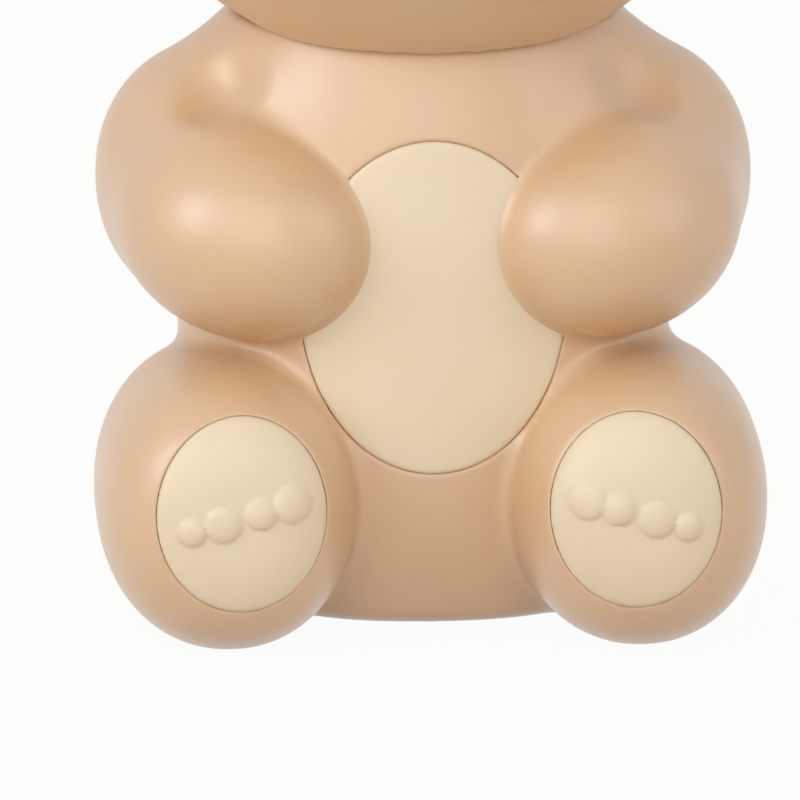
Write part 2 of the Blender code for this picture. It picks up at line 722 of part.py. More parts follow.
def head_shells():
    """The hollow head, its underside shaped to the shoulders it sits on, in two halves."""
    shell = head_solid("head", 0, HEAD_TRIANGLES)
    shoulders = soft_solid("shoulders", body_places(-SEAM_GAP), body_distance, SEAM_GAP, INNER_VOXEL, 1200)
    keep(shoulders, box("under", (-0.1, -0.1, 0.08), (0.1, 0.1, HEAD_SEAM_Z)))
    cut(shell, shoulders)
    hollow = head_solid("hollow", -SHELL_WALL, HEAD_INNER_TRIANGLES)
    cut(hollow, box("floor", (-0.1, -0.1, 0), (0.1, 0.1, HEAD_FLOOR_TOP_Z)))
    cut(shell, hollow)
    cut(shell, prism("base_recess", (0, NECK_Y), HEAD_BASE_HALF_WIDTH + FIT_GAP, HEAD_BASE_HALF_DEPTH + FIT_GAP,
                     0.08, HEAD_FLOOR_Z, 32),
        prism("pump_way", (0, NECK_Y), PUMP_HALF + 0.001, PUMP_HALF + 0.001, 0.09, 0.11, 20, PUMP_SQUARENESS),
        shield("muzzle_way", (0, 0.1262), 0.0055, 0.0055, flat_at(-0.060), flat_at(-0.036), 1, 14),
        along("button_way", (0, 0.036, BUTTON_Z), (0, 1, 0), BUTTON_RADIUS + FIT_GAP, 0.02, 20),
        along("light_way", (0, 0.036, LIGHT_Z), (0, 1, 0), LIGHT_RADIUS + FIT_GAP, 0.02, 10),
        flap_blank("flap_recess", FIT_GAP, 0.060, FLAP_DEPTH + 2 * FIT_GAP),
        box("port", (-PORT_HALF_WIDTH, 0.035, PORT_Z - PORT_HALF_HEIGHT),
            (PORT_HALF_WIDTH, 0.060, PORT_Z + PORT_HALF_HEIGHT)))
    for x, y in HEAD_SCREWS:
        join(shell, disc("boss", (x, y), BOSS_RADIUS, HEAD_FLOOR_TOP_Z - 0.001, HEAD_BOSS_TOP_Z, 12))
        cut(shell, disc("pilot", (x, y), SCREW_PILOT_RADIUS, 0.09, HEAD_BOSS_TOP_Z - 0.002, 8))
    for side in (-1, 1):
        cut(shell, along("ear_way", (side * EAR_AT[0], EAR_AT[1], EAR_AT[2]), ear_peg_way(side),
                         EAR_PEG_RADIUS + FIT_GAP, 0.02, 12),
            along("eye_way", (side * EYE_X, -0.05, EYE_Z), (0, 1, 0), PEG_RADIUS + FIT_GAP, 0.02, 10))
    rear = copy_of(shell, "head_rear_shell")
    cut(rear, box("front", (-0.1, -0.1, 0.05), (0.1, HEAD_AT[1] + FIT_GAP / 2, 0.2)))
    shell.name = "head_front_shell"
    cut(shell, box("rear", (-0.1, HEAD_AT[1] - FIT_GAP / 2, 0.05), (0.1, 0.1, 0.2)))
    return [finish(half, CARAMEL, 0.35) for half in (shell, rear)]


def flap_blank(name, grow, outer_y, depth):
    """The charging-port flap's outline, seen from the back, from outer_y in to depth under the skin."""
    width, height = FLAP_HALF_WIDTH + grow, FLAP_HALF_HEIGHT + grow
    outline = prism(name, (0, 0), width, height, 0, outer_y - 0.020, 24, 4)
    outline.data.transform(Matrix.Translation((0, 0.020, PORT_Z)) @ Matrix.Rotation(-math.pi / 2, 4, "X"))
    return cut(outline, head_solid("under_skin", -depth, 500))


def face_pieces():
    """Ears with cream inserts, eyes and nose."""
    pieces = []
    for side, label in ((1, "left"), (-1, "right")):
        at = (side * EAR_AT[0], EAR_AT[1], EAR_AT[2])
        ear = balls(f"{label}_ear", [(at, EAR_RADII)], 20, 12)
        cut(ear, head_solid("head", 2 * FIT_GAP, 500))
        centre = (side * EAR_AT[0], EAR_AT[2] + EAR_INNER_LIFT)
        mirrored_ear = lambda points: ear_distance(mirrored(points))
        front = lambda x, z: surface_y(mirrored_ear, EAR_INNER_PROUD, x, z, -0.02, EAR_AT[1])
        back = lambda x, z: surface_y(mirrored_ear, EAR_INNER_PROUD - 0.0014, x, z, -0.02, EAR_AT[1])
        deeper = lambda x, z: back(x, z) + FIT_GAP
        cut(ear, shield("recess", centre, EAR_INNER_RADIUS + FIT_GAP, EAR_INNER_RADIUS + FIT_GAP,
                        flat_at(-0.02), deeper, 1, 20))
        join(ear, along("peg", at, ear_peg_way(side), EAR_PEG_RADIUS, EAR_PEG_LENGTH, 12))
        tip = Vector(at) + ear_peg_way(side) * (EAR_PEG_LENGTH - 0.0005)
        join(ear, along("flange", tip, ear_peg_way(side), EAR_PEG_RADIUS + 0.0015, 0.0015, 12))
        inner = shield(f"{label}_ear_inner", centre, EAR_INNER_RADIUS, EAR_INNER_RADIUS, front, back, 2, 20)
        cut(inner, head_solid("head", 2 * FIT_GAP, 500))
        pieces += [finish(ear, CARAMEL, 0.35), finish(inner, CREAM, 0.4)]
        eye_at = (side * EYE_X, EYE_Z)
        dome = lambda x, z: (face_of(head_distance, FIT_GAP)(x, z) - 0.0003 - EYE_RISE * np.sqrt(np.maximum(
            0, 1 - ((x - eye_at[0]) / EYE_HALF_WIDTH) ** 2 - ((z - eye_at[1]) / EYE_HALF_HEIGHT) ** 2)))
        eye = shield(f"{label}_eye", eye_at, EYE_HALF_WIDTH, EYE_HALF_HEIGHT, dome,
                     face_of(head_distance, FIT_GAP), 2, 12)
        join(eye, along("peg", (eye_at[0], -0.0440, EYE_Z), (0, 1, 0), PEG_RADIUS, 0.0045, 8))
        pieces.append(finish(eye, BROWN, 0.15))
    nose = balls("nose", [(NOSE_AT, NOSE_RADII)], 14, 8)
    cut(nose, balls("muzzle", [(MUZZLE_AT, [r + FIT_GAP for r in MUZZLE_RADII])], 32, 20))
    join(nose, along("peg", (0, NOSE_AT[1] - 0.0015, NOSE_AT[2]), (0, 1, 0), PEG_RADIUS, 0.0050, 8))
    pieces.append(finish(nose, BROWN, 0.2))
    return pieces


def muzzle_pieces():
    """The hollow muzzle with the nozzle, its foaming meshes and the hand sensor."""
    cover = balls("muzzle_cover", [(MUZZLE_AT, MUZZLE_RADII)], 28, 16)
    cut(cover, balls("hollow", [(MUZZLE_AT, [r - MUZZLE_WALL for r in MUZZLE_RADII])], 20, 10),
        head_solid("head", 2 * FIT_GAP, 500))
    cut(cover, disc("nozzle_way", (0, NOZZLE_Y), NOZZLE_RADIUS + FIT_GAP, 0.1, MUZZLE_AT[2], 16),
        disc("sensor_way", (0, SENSOR_Y), SENSOR_RADIUS + FIT_GAP, 0.1, MUZZLE_AT[2], 12),
        along("nose_way", (0, -0.07, NOSE_AT[2]), (0, 1, 0), PEG_RADIUS + FIT_GAP, 0.02))
    bore, tip = NOZZLE_BORE_RADIUS, NOZZLE_HIGH_Z + 0.0035
    nozzle = turned("foam_nozzle", (0, NOZZLE_Y), [
        (NOZZLE_RADIUS - 0.0004, NOZZLE_LOW_Z), (NOZZLE_RADIUS, NOZZLE_LOW_Z + 0.0004),
        (NOZZLE_RADIUS, NOZZLE_HIGH_Z),
        (BARB_RADIUS, NOZZLE_HIGH_Z), (BARB_RADIUS, tip)], 16)
    cut(nozzle, disc("bore", (0, NOZZLE_Y), bore, 0.1, NOZZLE_HIGH_Z - 0.001, 16),
        disc("inlet", (0, NOZZLE_Y), 0.0008, 0.1, tip + 0.001, 8))
    holder = disc("mesh_holder", (0, NOZZLE_Y), bore - FIT_GAP, 0.1132, 0.1176, 14)
    cut(holder, disc("upper_seat", (0, NOZZLE_Y), SCREEN_RADIUS + 0.0002, 0.1164, 0.12, 12),
        disc("lower_seat", (0, NOZZLE_Y), SCREEN_RADIUS + 0.0002, 0.11, 0.1144, 12),
        disc("way", (0, NOZZLE_Y), SCREEN_RADIUS - 0.0005, 0.11, 0.12, 12))
    screens = [disc(name, (0, NOZZLE_Y), SCREEN_RADIUS, z, z + 0.0003, 12)
               for name, z in (("foam_screen_lower", 0.1138), ("foam_screen_upper", 0.1167))]
    window = disc("sensor_window", (0, SENSOR_Y), SENSOR_RADIUS, 0.1104, 0.1130, 16)
    board = box("sensor_board", (-0.0036, -0.0495, 0.1142), (0.0036, -0.0463, 0.1151))
    run = hose("foam_tube", [(0, y, z) for y, z in FOAM_PATH], TUBE_RADIUS, TUBE_BORE_RADIUS, 8)
    return [finish(cover, CREAM, 0.4), finish(nozzle, WHITE_PLASTIC, 0.3), finish(holder, WHITE_PLASTIC, 0.4),
            finish(screens[0], STEEL, 0.4, metal=1.0), finish(screens[1], STEEL, 0.4, metal=1.0),
            finish(window, SMOKE, 0.1), finish(board, BOARD_GREEN, 0.5),
            finish(run, TANK_TINT, 0.3, clear=0.5)]


def hose(name, path, radius, bore_radius, segments):
    """A tube through the points of path, open at both ends."""
    points = [Vector(at) for at in path]
    bm = bmesh.new()
    loops = []
    for i, at in enumerate(points):
        way = (points[min(i + 1, len(points) - 1)] - points[max(i - 1, 0)]).normalized()
        across = way.orthogonal().normalized() if not loops else (side - way * side.dot(way)).normalized()
        side, up = across, way.cross(across)
        pair = []
        for r in (radius, bore_radius):
            turns = [2 * math.pi * k / segments for k in range(segments)]
            pair.append([bm.verts.new(at + side * r * math.cos(t) + up * r * math.sin(t)) for t in turns])
        loops.append(pair)
    for k in range(segments):
        n = (k + 1) % segments
        for skin in (0, 1):
            for low, high in zip(loops, loops[1:]):
                bm.faces.new((low[skin][k], low[skin][n], high[skin][n], high[skin][k]))
        for end in (loops[0], loops[-1]):
            bm.faces.new((end[0][k], end[0][n], end[1][n], end[1][k]))
    bmesh.ops.recalc_face_normals(bm, faces=bm.faces)
    return object_from(name, bm)


def head_base_pieces():
    """The plate that closes the head, with its plug for the tank's neck, the seal and the screws."""
    base = prism("head_base", (0, NECK_Y), HEAD_BASE_HALF_WIDTH, HEAD_BASE_HALF_DEPTH, HEAD_SEAM_Z,
                 HEAD_BASE_TOP_Z, 32)
    spigot = turned("spigot", (0, NECK_Y), [
        (SPIGOT_RADIUS - 0.0018, SPIGOT_TIP_Z), (SPIGOT_RADIUS, SPIGOT_TIP_Z + 0.002),
        (SPIGOT_RADIUS, SEAL_LOW_Z),
        (SEAL_GROOVE_RADIUS, SEAL_LOW_Z), (SEAL_GROOVE_RADIUS, SEAL_HIGH_Z), (SPIGOT_RADIUS, SEAL_HIGH_Z),
        (SPIGOT_RADIUS, HEAD_SEAM_Z + 0.001)], 22)
    join(base, spigot)
    cut(base, disc("bore", (0, NECK_Y), SPIGOT_BORE_RADIUS, 0.08, HEAD_BASE_WEB_Z, 20))
    join(base, *[disc("post", at, 0.0026, HEAD_BASE_TOP_Z - 0.0005, PUMP_COVER_Z - FIT_GAP, 10)
                 for at in PUMP_SCREWS])
    cut(base, disc("tube_way", (0, DIP_TUBE_Y), TUBE_RADIUS + FIT_GAP, 0.08, 0.11, 12))
    for at in PUMP_SCREWS:
        cut(base, disc("way", at, SCREW_RADIUS + FIT_GAP, 0.09, 0.11, 8))
    for at in HEAD_SCREWS:
        cut(base, disc("way", at, SCREW_RADIUS + FIT_GAP, 0.09, 0.11, 8),
            disc("seat", at, SCREW_HEAD_RADIUS + FIT_GAP, 0.09, HEAD_SEAM_Z + SCREW_HEAD_HEIGHT + 0.0004, 10))
    seal = disc("neck_seal", (0, NECK_Y), SPIGOT_RADIUS, SEAL_LOW_Z + FIT_GAP, SEAL_HIGH_Z - FIT_GAP, 22)
    cut(seal, disc("bore", (0, NECK_Y), SEAL_GROOVE_RADIUS + FIT_GAP, 0.08, 0.1, 22))
    pieces = [finish(base, WHITE_PLASTIC, 0.45), finish(seal, SEAL_GREY, 0.7)]
    for number, (x, y) in enumerate(HEAD_SCREWS, 1):
        pieces.append(screw(f"head_screw_{number}", (x, y, HEAD_SEAM_Z + 0.0001), HEAD_BOSS_TOP_Z - 0.003))
    for number, (x, y) in enumerate(PUMP_SCREWS, 1):
        at = (x, y, HEAD_BASE_WEB_Z - SCREW_HEAD_HEIGHT - 0.0002)
        pieces.append(screw(f"pump_screw_{number}", at, PUMP_SCREW_TIP_Z))
    return pieces


def pump_layer(name, low, high, ways=()):
    """One square layer of the pump with clearance for its four screws."""
    layer = prism(name, (0, NECK_Y), PUMP_HALF, PUMP_HALF, low, high, 20, PUMP_SQUARENESS)
    holes = [disc("way", at, SCREW_RADIUS + FIT_GAP, 0.09, PUMP_SCREW_TIP_Z + 0.001, 8) for at in PUMP_SCREWS]
    return cut(layer, *holes, *ways)


def cup_places():
    turns = [math.radians(a) for a in (90, 210, 330)]
    return [(CUP_RING_RADIUS * math.cos(t), NECK_Y + CUP_RING_RADIUS * math.sin(t)) for t in turns]


def pump_pieces():
    """Cover with the two barbs, valve plate, diaphragm with three cups, housing, swing plate."""
    cover = pump_layer("pump_cover", PUMP_COVER_Z, VALVE_PLATE_Z - FIT_GAP)
    join(cover, disc("inlet", (0, DIP_TUBE_Y), BARB_RADIUS, 0.0970, PUMP_COVER_Z + 0.001, 10),
         along("outlet", (0, OUTLET_TIP_Y, OUTLET_Z), (0, 1, 0), BARB_RADIUS, 0.0070, 10))
    valves = pump_layer("pump_valve_plate", VALVE_PLATE_Z, DIAPHRAGM_Z - FIT_GAP,
                        [disc("valve", at, 0.0018, 0.1, 0.11, 8) for at in cup_places()])
    diaphragm = pump_layer("pump_diaphragm", DIAPHRAGM_Z, PUMP_HOUSING_Z - FIT_GAP)
    join(diaphragm, *[turned("cup", at, [(CUP_RADIUS, DIAPHRAGM_Z + 0.0005), (CUP_RADIUS, CUP_TOP_Z - 0.0012),
                                         (CUP_RADIUS - 0.0012, CUP_TOP_Z)], 12) for at in cup_places()])
    housing = pump_layer("pump_housing", PUMP_HOUSING_Z, PUMP_HOUSING_TOP_Z)
    cut(housing, disc("cavity", (0, NECK_Y), PUMP_CAVITY_RADIUS, 0.1, PUMP_HOUSING_TOP_Z - 0.0018, 20),
        disc("shaft_way", (0, NECK_Y), 0.0030, 0.1, 0.13, 12))
    plate = turned("swing_plate", (0, 0), [(SWING_RADIUS - 0.0004, -0.0008), (SWING_RADIUS, -0.0004),
                                           (SWING_RADIUS, 0.0008)], 20)
    cut(plate, disc("socket", (0, 0), 0.0034, -0.01, 0.01, 14))
    plate.data.transform(Matrix.Rotation(SWING_TILT, 4, "Y"))
    plate.location = (0, NECK_Y, SWING_Z)
    return [finish(cover, WHITE_PLASTIC, 0.45), finish(valves, WHITE_PLASTIC, 0.5),
            finish(diaphragm, SEAL_GREY, 0.7), finish(housing, WHITE_PLASTIC, 0.45),
            finish(plate, WHITE_PLASTIC, 0.4)]


def drive_pieces():
    """Motor, its shaft and the cam whose pin rocks the swing plate."""
    case = turned("motor_case", (0, NECK_Y), [
        (MOTOR_RADIUS - 0.0006, MOTOR_LOW_Z), (MOTOR_RADIUS, MOTOR_LOW_Z + 0.0006),
        (MOTOR_RADIUS, MOTOR_HIGH_Z - 0.001),
        (MOTOR_RADIUS - 0.001, MOTOR_HIGH_Z), (0.003, MOTOR_HIGH_Z), (0.003, MOTOR_HIGH_Z + 0.0012)], 20)
    cut(case, disc("bearing", (0, NECK_Y), SHAFT_RADIUS + FIT_GAP, 0.12, 0.1270, 12))
    shaft = disc("motor_shaft", (0, NECK_Y), SHAFT_RADIUS, 0.1180, 0.1266, 12)
    pivot_at(shaft, (0, NECK_Y, CAM_HIGH_Z))
    cam = turned("eccentric_cam", (0, NECK_Y), [(CAM_RADIUS, CAM_LOW_Z), (CAM_RADIUS, CAM_LOW_Z + 0.0014),
                                                (0.0026, CAM_LOW_Z + 0.0014), (0.0026, CAM_HIGH_Z)], 16)
    cut(cam, disc("bore", (0, NECK_Y), SHAFT_RADIUS + FIT_GAP, 0.1176, 0.13, 12))
    join(cam, disc("pin", (CAM_PIN_THROW, NECK_Y), CAM_PIN_RADIUS, SWING_Z - 0.0004, CAM_LOW_Z + 0.0003, 10))
    pivot_at(cam, (0, NECK_Y, CAM_HIGH_Z))
    return [finish(case, STEEL, 0.35, metal=1.0), finish(shaft, STEEL, 0.2, metal=1.0),
            finish(cam, WHITE_PLASTIC, 0.4)]


def tube_pieces():
    """The dip tube that reaches the tank's floor and the strainer on its end."""
    tube = disc("dip_tube", (0, DIP_TUBE_Y), TUBE_RADIUS, DIP_TUBE_TIP_Z, DIP_TUBE_TOP_Z, 12)
    cut(tube, disc("bore", (0, DIP_TUBE_Y), TUBE_BORE_RADIUS, 0, 0.2, 12))
    strainer = turned("dip_tube_strainer", (0, DIP_TUBE_Y), [
        (STRAINER_RADIUS - 0.0008, STRAINER_LOW_Z), (STRAINER_RADIUS, STRAINER_LOW_Z + 0.001),
        (STRAINER_RADIUS, STRAINER_HIGH_Z - 0.001), (STRAINER_RADIUS - 0.0005, STRAINER_HIGH_Z)], 14)
    cut(strainer, disc("bore", (0, DIP_TUBE_Y), TUBE_RADIUS + FIT_GAP, DIP_TUBE_TIP_Z - FIT_GAP, 0.1, 12))
    low, high = STRAINER_LOW_Z - 0.001, DIP_TUBE_TIP_Z + 0.0002
    cut(strainer, join(box("slot", (-0.0007, DIP_TUBE_Y - 0.006, low), (0.0007, DIP_TUBE_Y + 0.006, high)),
                       box("slot", (-0.006, DIP_TUBE_Y - 0.0008, low), (0.006, DIP_TUBE_Y + 0.0008, high))))
    return [finish(tube, TANK_TINT, 0.3, clear=0.5), finish(strainer, WHITE_PLASTIC, 0.5)]


def power_pieces():
    """Battery in its cradle, main board with socket and switch, button, light pipe and port flap."""
    cell = along("battery_cell", (-BATTERY_HALF_LENGTH, BATTERY_Y, BATTERY_Z), (1, 0, 0), BATTERY_RADIUS,
                 2 * BATTERY_HALF_LENGTH - 0.0008, 18)
    join(cell, along("button", (0.02, BATTERY_Y, BATTERY_Z), (1, 0, 0), 0.0028, BATTERY_HALF_LENGTH - 0.02, 12))
    cradle = box("battery_cradle", (-0.0275, BATTERY_Y - 0.0085, 0.1170), (0.0275, BATTERY_Y + 0.0085, 0.1260))
    cut(cradle, box("room", (-0.0256, 0, 0.1186), (0.0256, 0.05, 0.14)))
    saddle = join(box("saddle", (-0.0160, BATTERY_Y - 0.0085, 0.1175), (-0.0120, BATTERY_Y + 0.0085, 0.1235)),
                  box("saddle", (0.0120, BATTERY_Y - 0.0085, 0.1175), (0.0160, BATTERY_Y + 0.0085, 0.1235)))
    cut(saddle, along("trough", (-0.05, BATTERY_Y, BATTERY_Z), (1, 0, 0), BATTERY_RADIUS + FIT_GAP, 0.1, 18))
    join(cradle, saddle)
    join(cradle, *[box("leg", (x - 0.002, BATTERY_Y - 0.003, HEAD_FLOOR_TOP_Z + FIT_GAP),
                       (x + 0.002, BATTERY_Y, 0.1175))
                   for x in (-0.016, 0.016)])
    back = BOARD_Y + BOARD_THICKNESS
    board = box("main_board", (-0.0130, BOARD_Y, 0.1100), (0.0130, back, 0.1400))
    socket = box("usb_socket", (-0.0045, back + FIT_GAP, PORT_Z - 0.0016), (0.0045, 0.0365, PORT_Z + 0.0016))
    cut(socket, box("mouth", (-0.0041, 0.0330, PORT_Z - 0.0012), (0.0041, 0.05, PORT_Z + 0.0012)))
    switch = box("tact_switch", (-0.0030, back + FIT_GAP, BUTTON_Z - 0.0030), (0.0030, 0.0336, BUTTON_Z + 0.0030))
    join(switch, along("stem", (0, 0.0330, BUTTON_Z), (0, 1, 0), 0.0016, SWITCH_TIP_Y - 0.0330, 12))
    face = head_surface_back_y(0, BUTTON_Z)
    button = turned("power_button", (0, 0), [
        (BUTTON_FLANGE_RADIUS, 0), (BUTTON_FLANGE_RADIUS, 0.0010), (BUTTON_RADIUS, 0.0010),
        (BUTTON_RADIUS, face + BUTTON_PROUD - 0.0006 - BUTTON_INNER_Y), (BUTTON_RADIUS - 0.0006,
                                                                        face + BUTTON_PROUD - BUTTON_INNER_Y)], 18)
    button = pivot_at(pointed(button, (0, BUTTON_INNER_Y, BUTTON_Z), (0, 1, 0)), (0, BUTTON_INNER_Y, BUTTON_Z))
    light = along("status_light", (0, back + FIT_GAP, LIGHT_Z), (0, 1, 0), LIGHT_RADIUS,
                  head_surface_back_y(0, LIGHT_Z) + 0.0002 - back - FIT_GAP, 12)
    flap = keep(flap_blank("port_flap", 0, 0.060, FLAP_DEPTH), head_solid("skin", FLAP_PROUD, 500))
    pivot_at(flap, flap_hinge())
    return [finish(cell, CELL_BLUE, 0.3), finish(cradle, WHITE_PLASTIC, 0.5), finish(board, BOARD_GREEN, 0.5),
            finish(socket, STEEL, 0.3, metal=1.0), finish(switch, SMOKE, 0.4), finish(button, CREAM, 0.4),
            finish(light, WHITE_PLASTIC, 0.2, clear=0.6), finish(flap, CREAM, 0.6)]


def head_surface_back_y(x, z):
    return float(surface_y(head_distance, 0, [x], [z], 0.080, 0.0)[0])


def flap_hinge():
    """The top edge of the port flap, where its silicone strap bends."""
    z = PORT_Z + FLAP_HALF_HEIGHT
    return (0, head_surface_back_y(0, z) + FLAP_PROUD, z)


# Moving groups hang on empties so the tree of names follows the joints

def group(name, at, members, parent=None):
    empty = bpy.data.objects.new(name, None)
    bpy.context.scene.collection.objects.link(empty)
    empty.location = at
    bpy.context.view_layer.update()
    if parent:
        hang(empty, parent)
    for piece in members:
        hang(piece, empty)
    return empty


def hang(piece, parent):
    """Parents a piece without moving it."""
    bpy.context.view_layer.update()
    piece.parent = parent
    piece.matrix_parent_inverse = parent.matrix_world.inverted()


def main():
    clear_scene()
    body = body_shells() + belly_panel() + sole_pads() + soap_tank() + base_pieces()
    head = head_shells() + face_pieces() + muzzle_pieces() + head_base_pieces() + pump_pieces()
    head += drive_pieces() + tube_pieces() + power_pieces()
    body_group = group("body", (0, 0, 0), body)
    head_group = group("head", (0, NECK_Y, HEAD_SEAM_Z), head, body_group)
    rotor = [piece for piece in head if piece.name in ("motor_shaft", "eccentric_cam")]
    group("rotor", (0, NECK_Y, CAM_HIGH_Z), rotor, head_group)


if __name__ == "__main__":
    main()
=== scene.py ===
"""Looks of the touch-free foaming soap dispenser shaped as a seated bear.

The free-form skins are drawn again, finer, onto the same shapes as the CAD. Metres, +Z up, the bear
faces -Y.
"""
import math

import bmesh
import bpy
import numpy as np
from mathutils import Matrix, Vector


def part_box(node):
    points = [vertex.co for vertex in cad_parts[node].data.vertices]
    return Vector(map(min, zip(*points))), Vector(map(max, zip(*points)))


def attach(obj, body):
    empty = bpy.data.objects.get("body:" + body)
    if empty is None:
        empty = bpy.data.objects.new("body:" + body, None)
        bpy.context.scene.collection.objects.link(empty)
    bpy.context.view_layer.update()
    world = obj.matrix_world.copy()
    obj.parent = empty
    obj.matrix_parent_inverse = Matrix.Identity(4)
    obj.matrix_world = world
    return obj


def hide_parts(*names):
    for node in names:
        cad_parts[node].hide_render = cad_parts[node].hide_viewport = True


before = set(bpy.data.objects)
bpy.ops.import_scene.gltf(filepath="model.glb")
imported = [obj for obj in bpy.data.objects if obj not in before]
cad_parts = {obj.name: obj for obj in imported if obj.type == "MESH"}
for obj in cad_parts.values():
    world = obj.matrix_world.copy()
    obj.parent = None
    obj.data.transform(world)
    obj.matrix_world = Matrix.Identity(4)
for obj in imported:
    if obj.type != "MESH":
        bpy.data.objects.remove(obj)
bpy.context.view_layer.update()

X, Y, Z = 0, 1, 2
FORWARD, BACKWARD = (0, -1, 0), (0, 1, 0)
DOWN, UP = (0, 0, -1), (0, 0, 1)
SIDES = ((1, "left"), (-1, "right"))

# Sizes shared with the CAD
FIT_GAP = 0.0003
TORSO_Y = 0.001
TORSO_MID_Z = 0.048
TORSO_RADII = (0.0385, 0.0345, 0.062)
TORSO_ROUNDNESS = 2.2
TORSO_BARREL = 2.6
TORSO_BASE_Z = 0.0012
TORSO_BASE_ROUNDING = 0.003
BODY_TOP_Z = 0.0947
BODY_SPLIT_Y = 0.004
SHOULDER_AT = (0.0313, 0, 0.0682)
SHOULDER_RADII = (0.0201, 0.0225, 0.0214)
SHOULDER_ROUNDNESS = 2.1
ARM_AT = (0.0282, -0.0245, 0.0638)
ARM_RADII = (0.0195, 0.0162, 0.0164)
ARM_SWEEP = math.radians(19)
ARM_RISE = math.radians(8)
PAW_CREASE = 0.0020
ELBOW_BLEND = 0.0120
SHOULDER_BLEND = 0.0090
LEG_AT = (0.0321, -0.0205, 0.0219)
LEG_RADII = (0.0203, 0.0295, 0.0228)
LEG_ROUNDNESS = 2.1
LEG_BARREL = 3.0
LEG_BLEND = 0.0030
HEAD_AT = (0, -0.003, 0.127)
HEAD_RADII = (0.048, 0.044, 0.038)
HEAD_ROUNDNESS = 2.1
HEAD_BARREL = 2.2
CHIN_AT = (0, -0.017, 0.104)
CHIN_RADII = (0.030, 0.017, 0.0135)
CHIN_BLEND = 0.004
SEAM_GAP = 0.0006
HEAD_SEAM_Z = 0.0950
BELLY_Z = 0.0534
BELLY_HALF_SIZES = (0.0206, 0.0262)
SOLE_X = 0.0306
SOLE_Z = 0.0243
SOLE_HALF_SIZES = (0.0132, 0.0151)
SOLE_ROW_TILT = math.radians(15)
SOLE_BUBBLE_RISE = 0.0009
SOLE_BUBBLES = ((-0.0082, 0.0022), (-0.0031, 0.0029), (0.0030, 0.0025), (0.0081, 0.0030))
BASE_HALF_SIZES = (0.0285, 0.0250)
NECK_Y = -0.003
NECK_RADIUS = 0.0212
HEAD_BASE_HALF_SIZES = (0.0255, 0.0219)
MUZZLE_AT = (0, -0.042, 0.1235)
MUZZLE_RADII = (0.0200, 0.0200, 0.0130)
NOZZLE_Y = -0.054
NOZZLE_RADIUS = 0.0040
NOZZLE_BORE_RADIUS = 0.0031
NOZZLE_LOW_Z = 0.1112
NOZZLE_HIGH_Z = 0.1190
BARB_RADIUS = 0.0015
SENSOR_Y = -0.0476
SENSOR_RADIUS = 0.0019
NOSE_AT = (0, -0.0594, 0.1300)
NOSE_RADII = (0.0055, 0.0030, 0.0040)
EYE_X = 0.0170
EYE_Z = 0.1385
EYE_HALF_SIZES = (0.0033, 0.0038)
EYE_RISE = 0.0016
EAR_AT = (0.0330, -0.003, 0.1600)
EAR_RADII = (0.0140, 0.0075, 0.0140)
EAR_INNER_LIFT = 0.0016
EAR_INNER_RADIUS = 0.0082
BUTTON_Z = 0.1300
BUTTON_RADIUS = 0.0060
BUTTON_FLANGE_RADIUS = 0.0069
LIGHT_Z = 0.1208
LIGHT_RADIUS = 0.0010
PORT_Z = 0.1140
PORT_HALF_SIZES = (0.0048, 0.0020)
FLAP_HALF_SIZES = (0.0065, 0.0036)
FLAP_POWER = 4.0
FLAP_DEPTH = 0.0010

# Form that only the fine skins have: where the paw's crease fades, and a dimple in each armpit
CREASE_FADES_FROM_Z = 0.077
CREASE_FADES_TO_Z = 0.093
ARMPIT_AT = (0.0347, -0.0196, 0.0882)
ARMPIT_RADIUS = 0.0060
ARMPIT_BLEND = 0.0050

# Detail of the fine skins
SKIN_VOXEL = 0.0008
START_SHRINK = 0.0015
EDGE_ROUNDING = 0.0006
HEAD_SEAT_ROUNDING = 0.0010
SEAM_WIDTH = 0.0001
RIM_DEPTH = 0.0016
INSERT_PROUD = 0.0003
WINDOW_OFF_PAW = 0.0010
PANEL_UNDER_PAW = 0.0003
EAR_INNER_OFF_HEAD = 0.0007
RECESS_FLOOR_GROW = 0.0002
BELLY_GRID = 0.0005
SOLE_GRID = 0.00035
EAR_GRID = 0.0004
EYE_GRID = 0.0002

# Rounded edges: width across the skin and depth, and where lines are drawn across that width
SOFT_EDGE = (0.0009, 0.00035)
FITTED_EDGE = (0.0005, 0.0002)
BUTTON_EDGE = (0.0004, 0.0002)
PARTING_EDGE = (0.0004, 0.00015)
FINE_EDGE = (0.0003, 0.0001)
EYE_EDGE = (0.0002, 0.0001)
PORT_EDGE = (0.0002, 0.00005)
EDGE_LINES = (1.0, 0.5, 0.2)

# Openings count only on their own side of these planes
BELLY_BEFORE_Y = -0.020
SOLES_BEFORE_Y = -0.035
NECK_ABOVE_Z = 0.088
BASE_BELOW_Z = 0.006
HEAD_BASE_BELOW_Z = 0.100

# Turned pieces
NOZZLE_ROUNDING = 0.0004
NOZZLE_BORE_CHAMFER = 0.0002
NOZZLE_TOP_WALL = 0.0010
BARB_HEIGHT = 0.0035
WINDOW_ROUNDING = 0.0003
LIGHT_ROUNDING = 0.0003
BUTTON_ROUNDING = 0.0005
BUTTON_FLANGE_HEIGHT = 0.0010
BUTTON_DISH_DEPTH = 0.0003
BUTTON_DISH_LINES = (0.8, 0.6, 0.4, 0.2, 0.05)

# Limits of the mesh work
TINY = 1e-9
FAR = 1.0
LONGEST_STEP = 0.003
LEAST_SLOPE = 0.5
ON_LINE = 0.00004
ON_SURFACE = 0.00002
RIM_REACH = 0.0004
SAME_WAY = 0.8
FRONT_OF_ALL_Y = -0.080
HALVINGS = 30
SHEET_MARGIN = 0.001
EDGE_STEPS = 5

# Materials
NOISE_LOW, NOISE_HIGH = 0.3, 0.7
COAT_ROUGHNESS = 0.38
SOFT_DEPTH = 0.0025

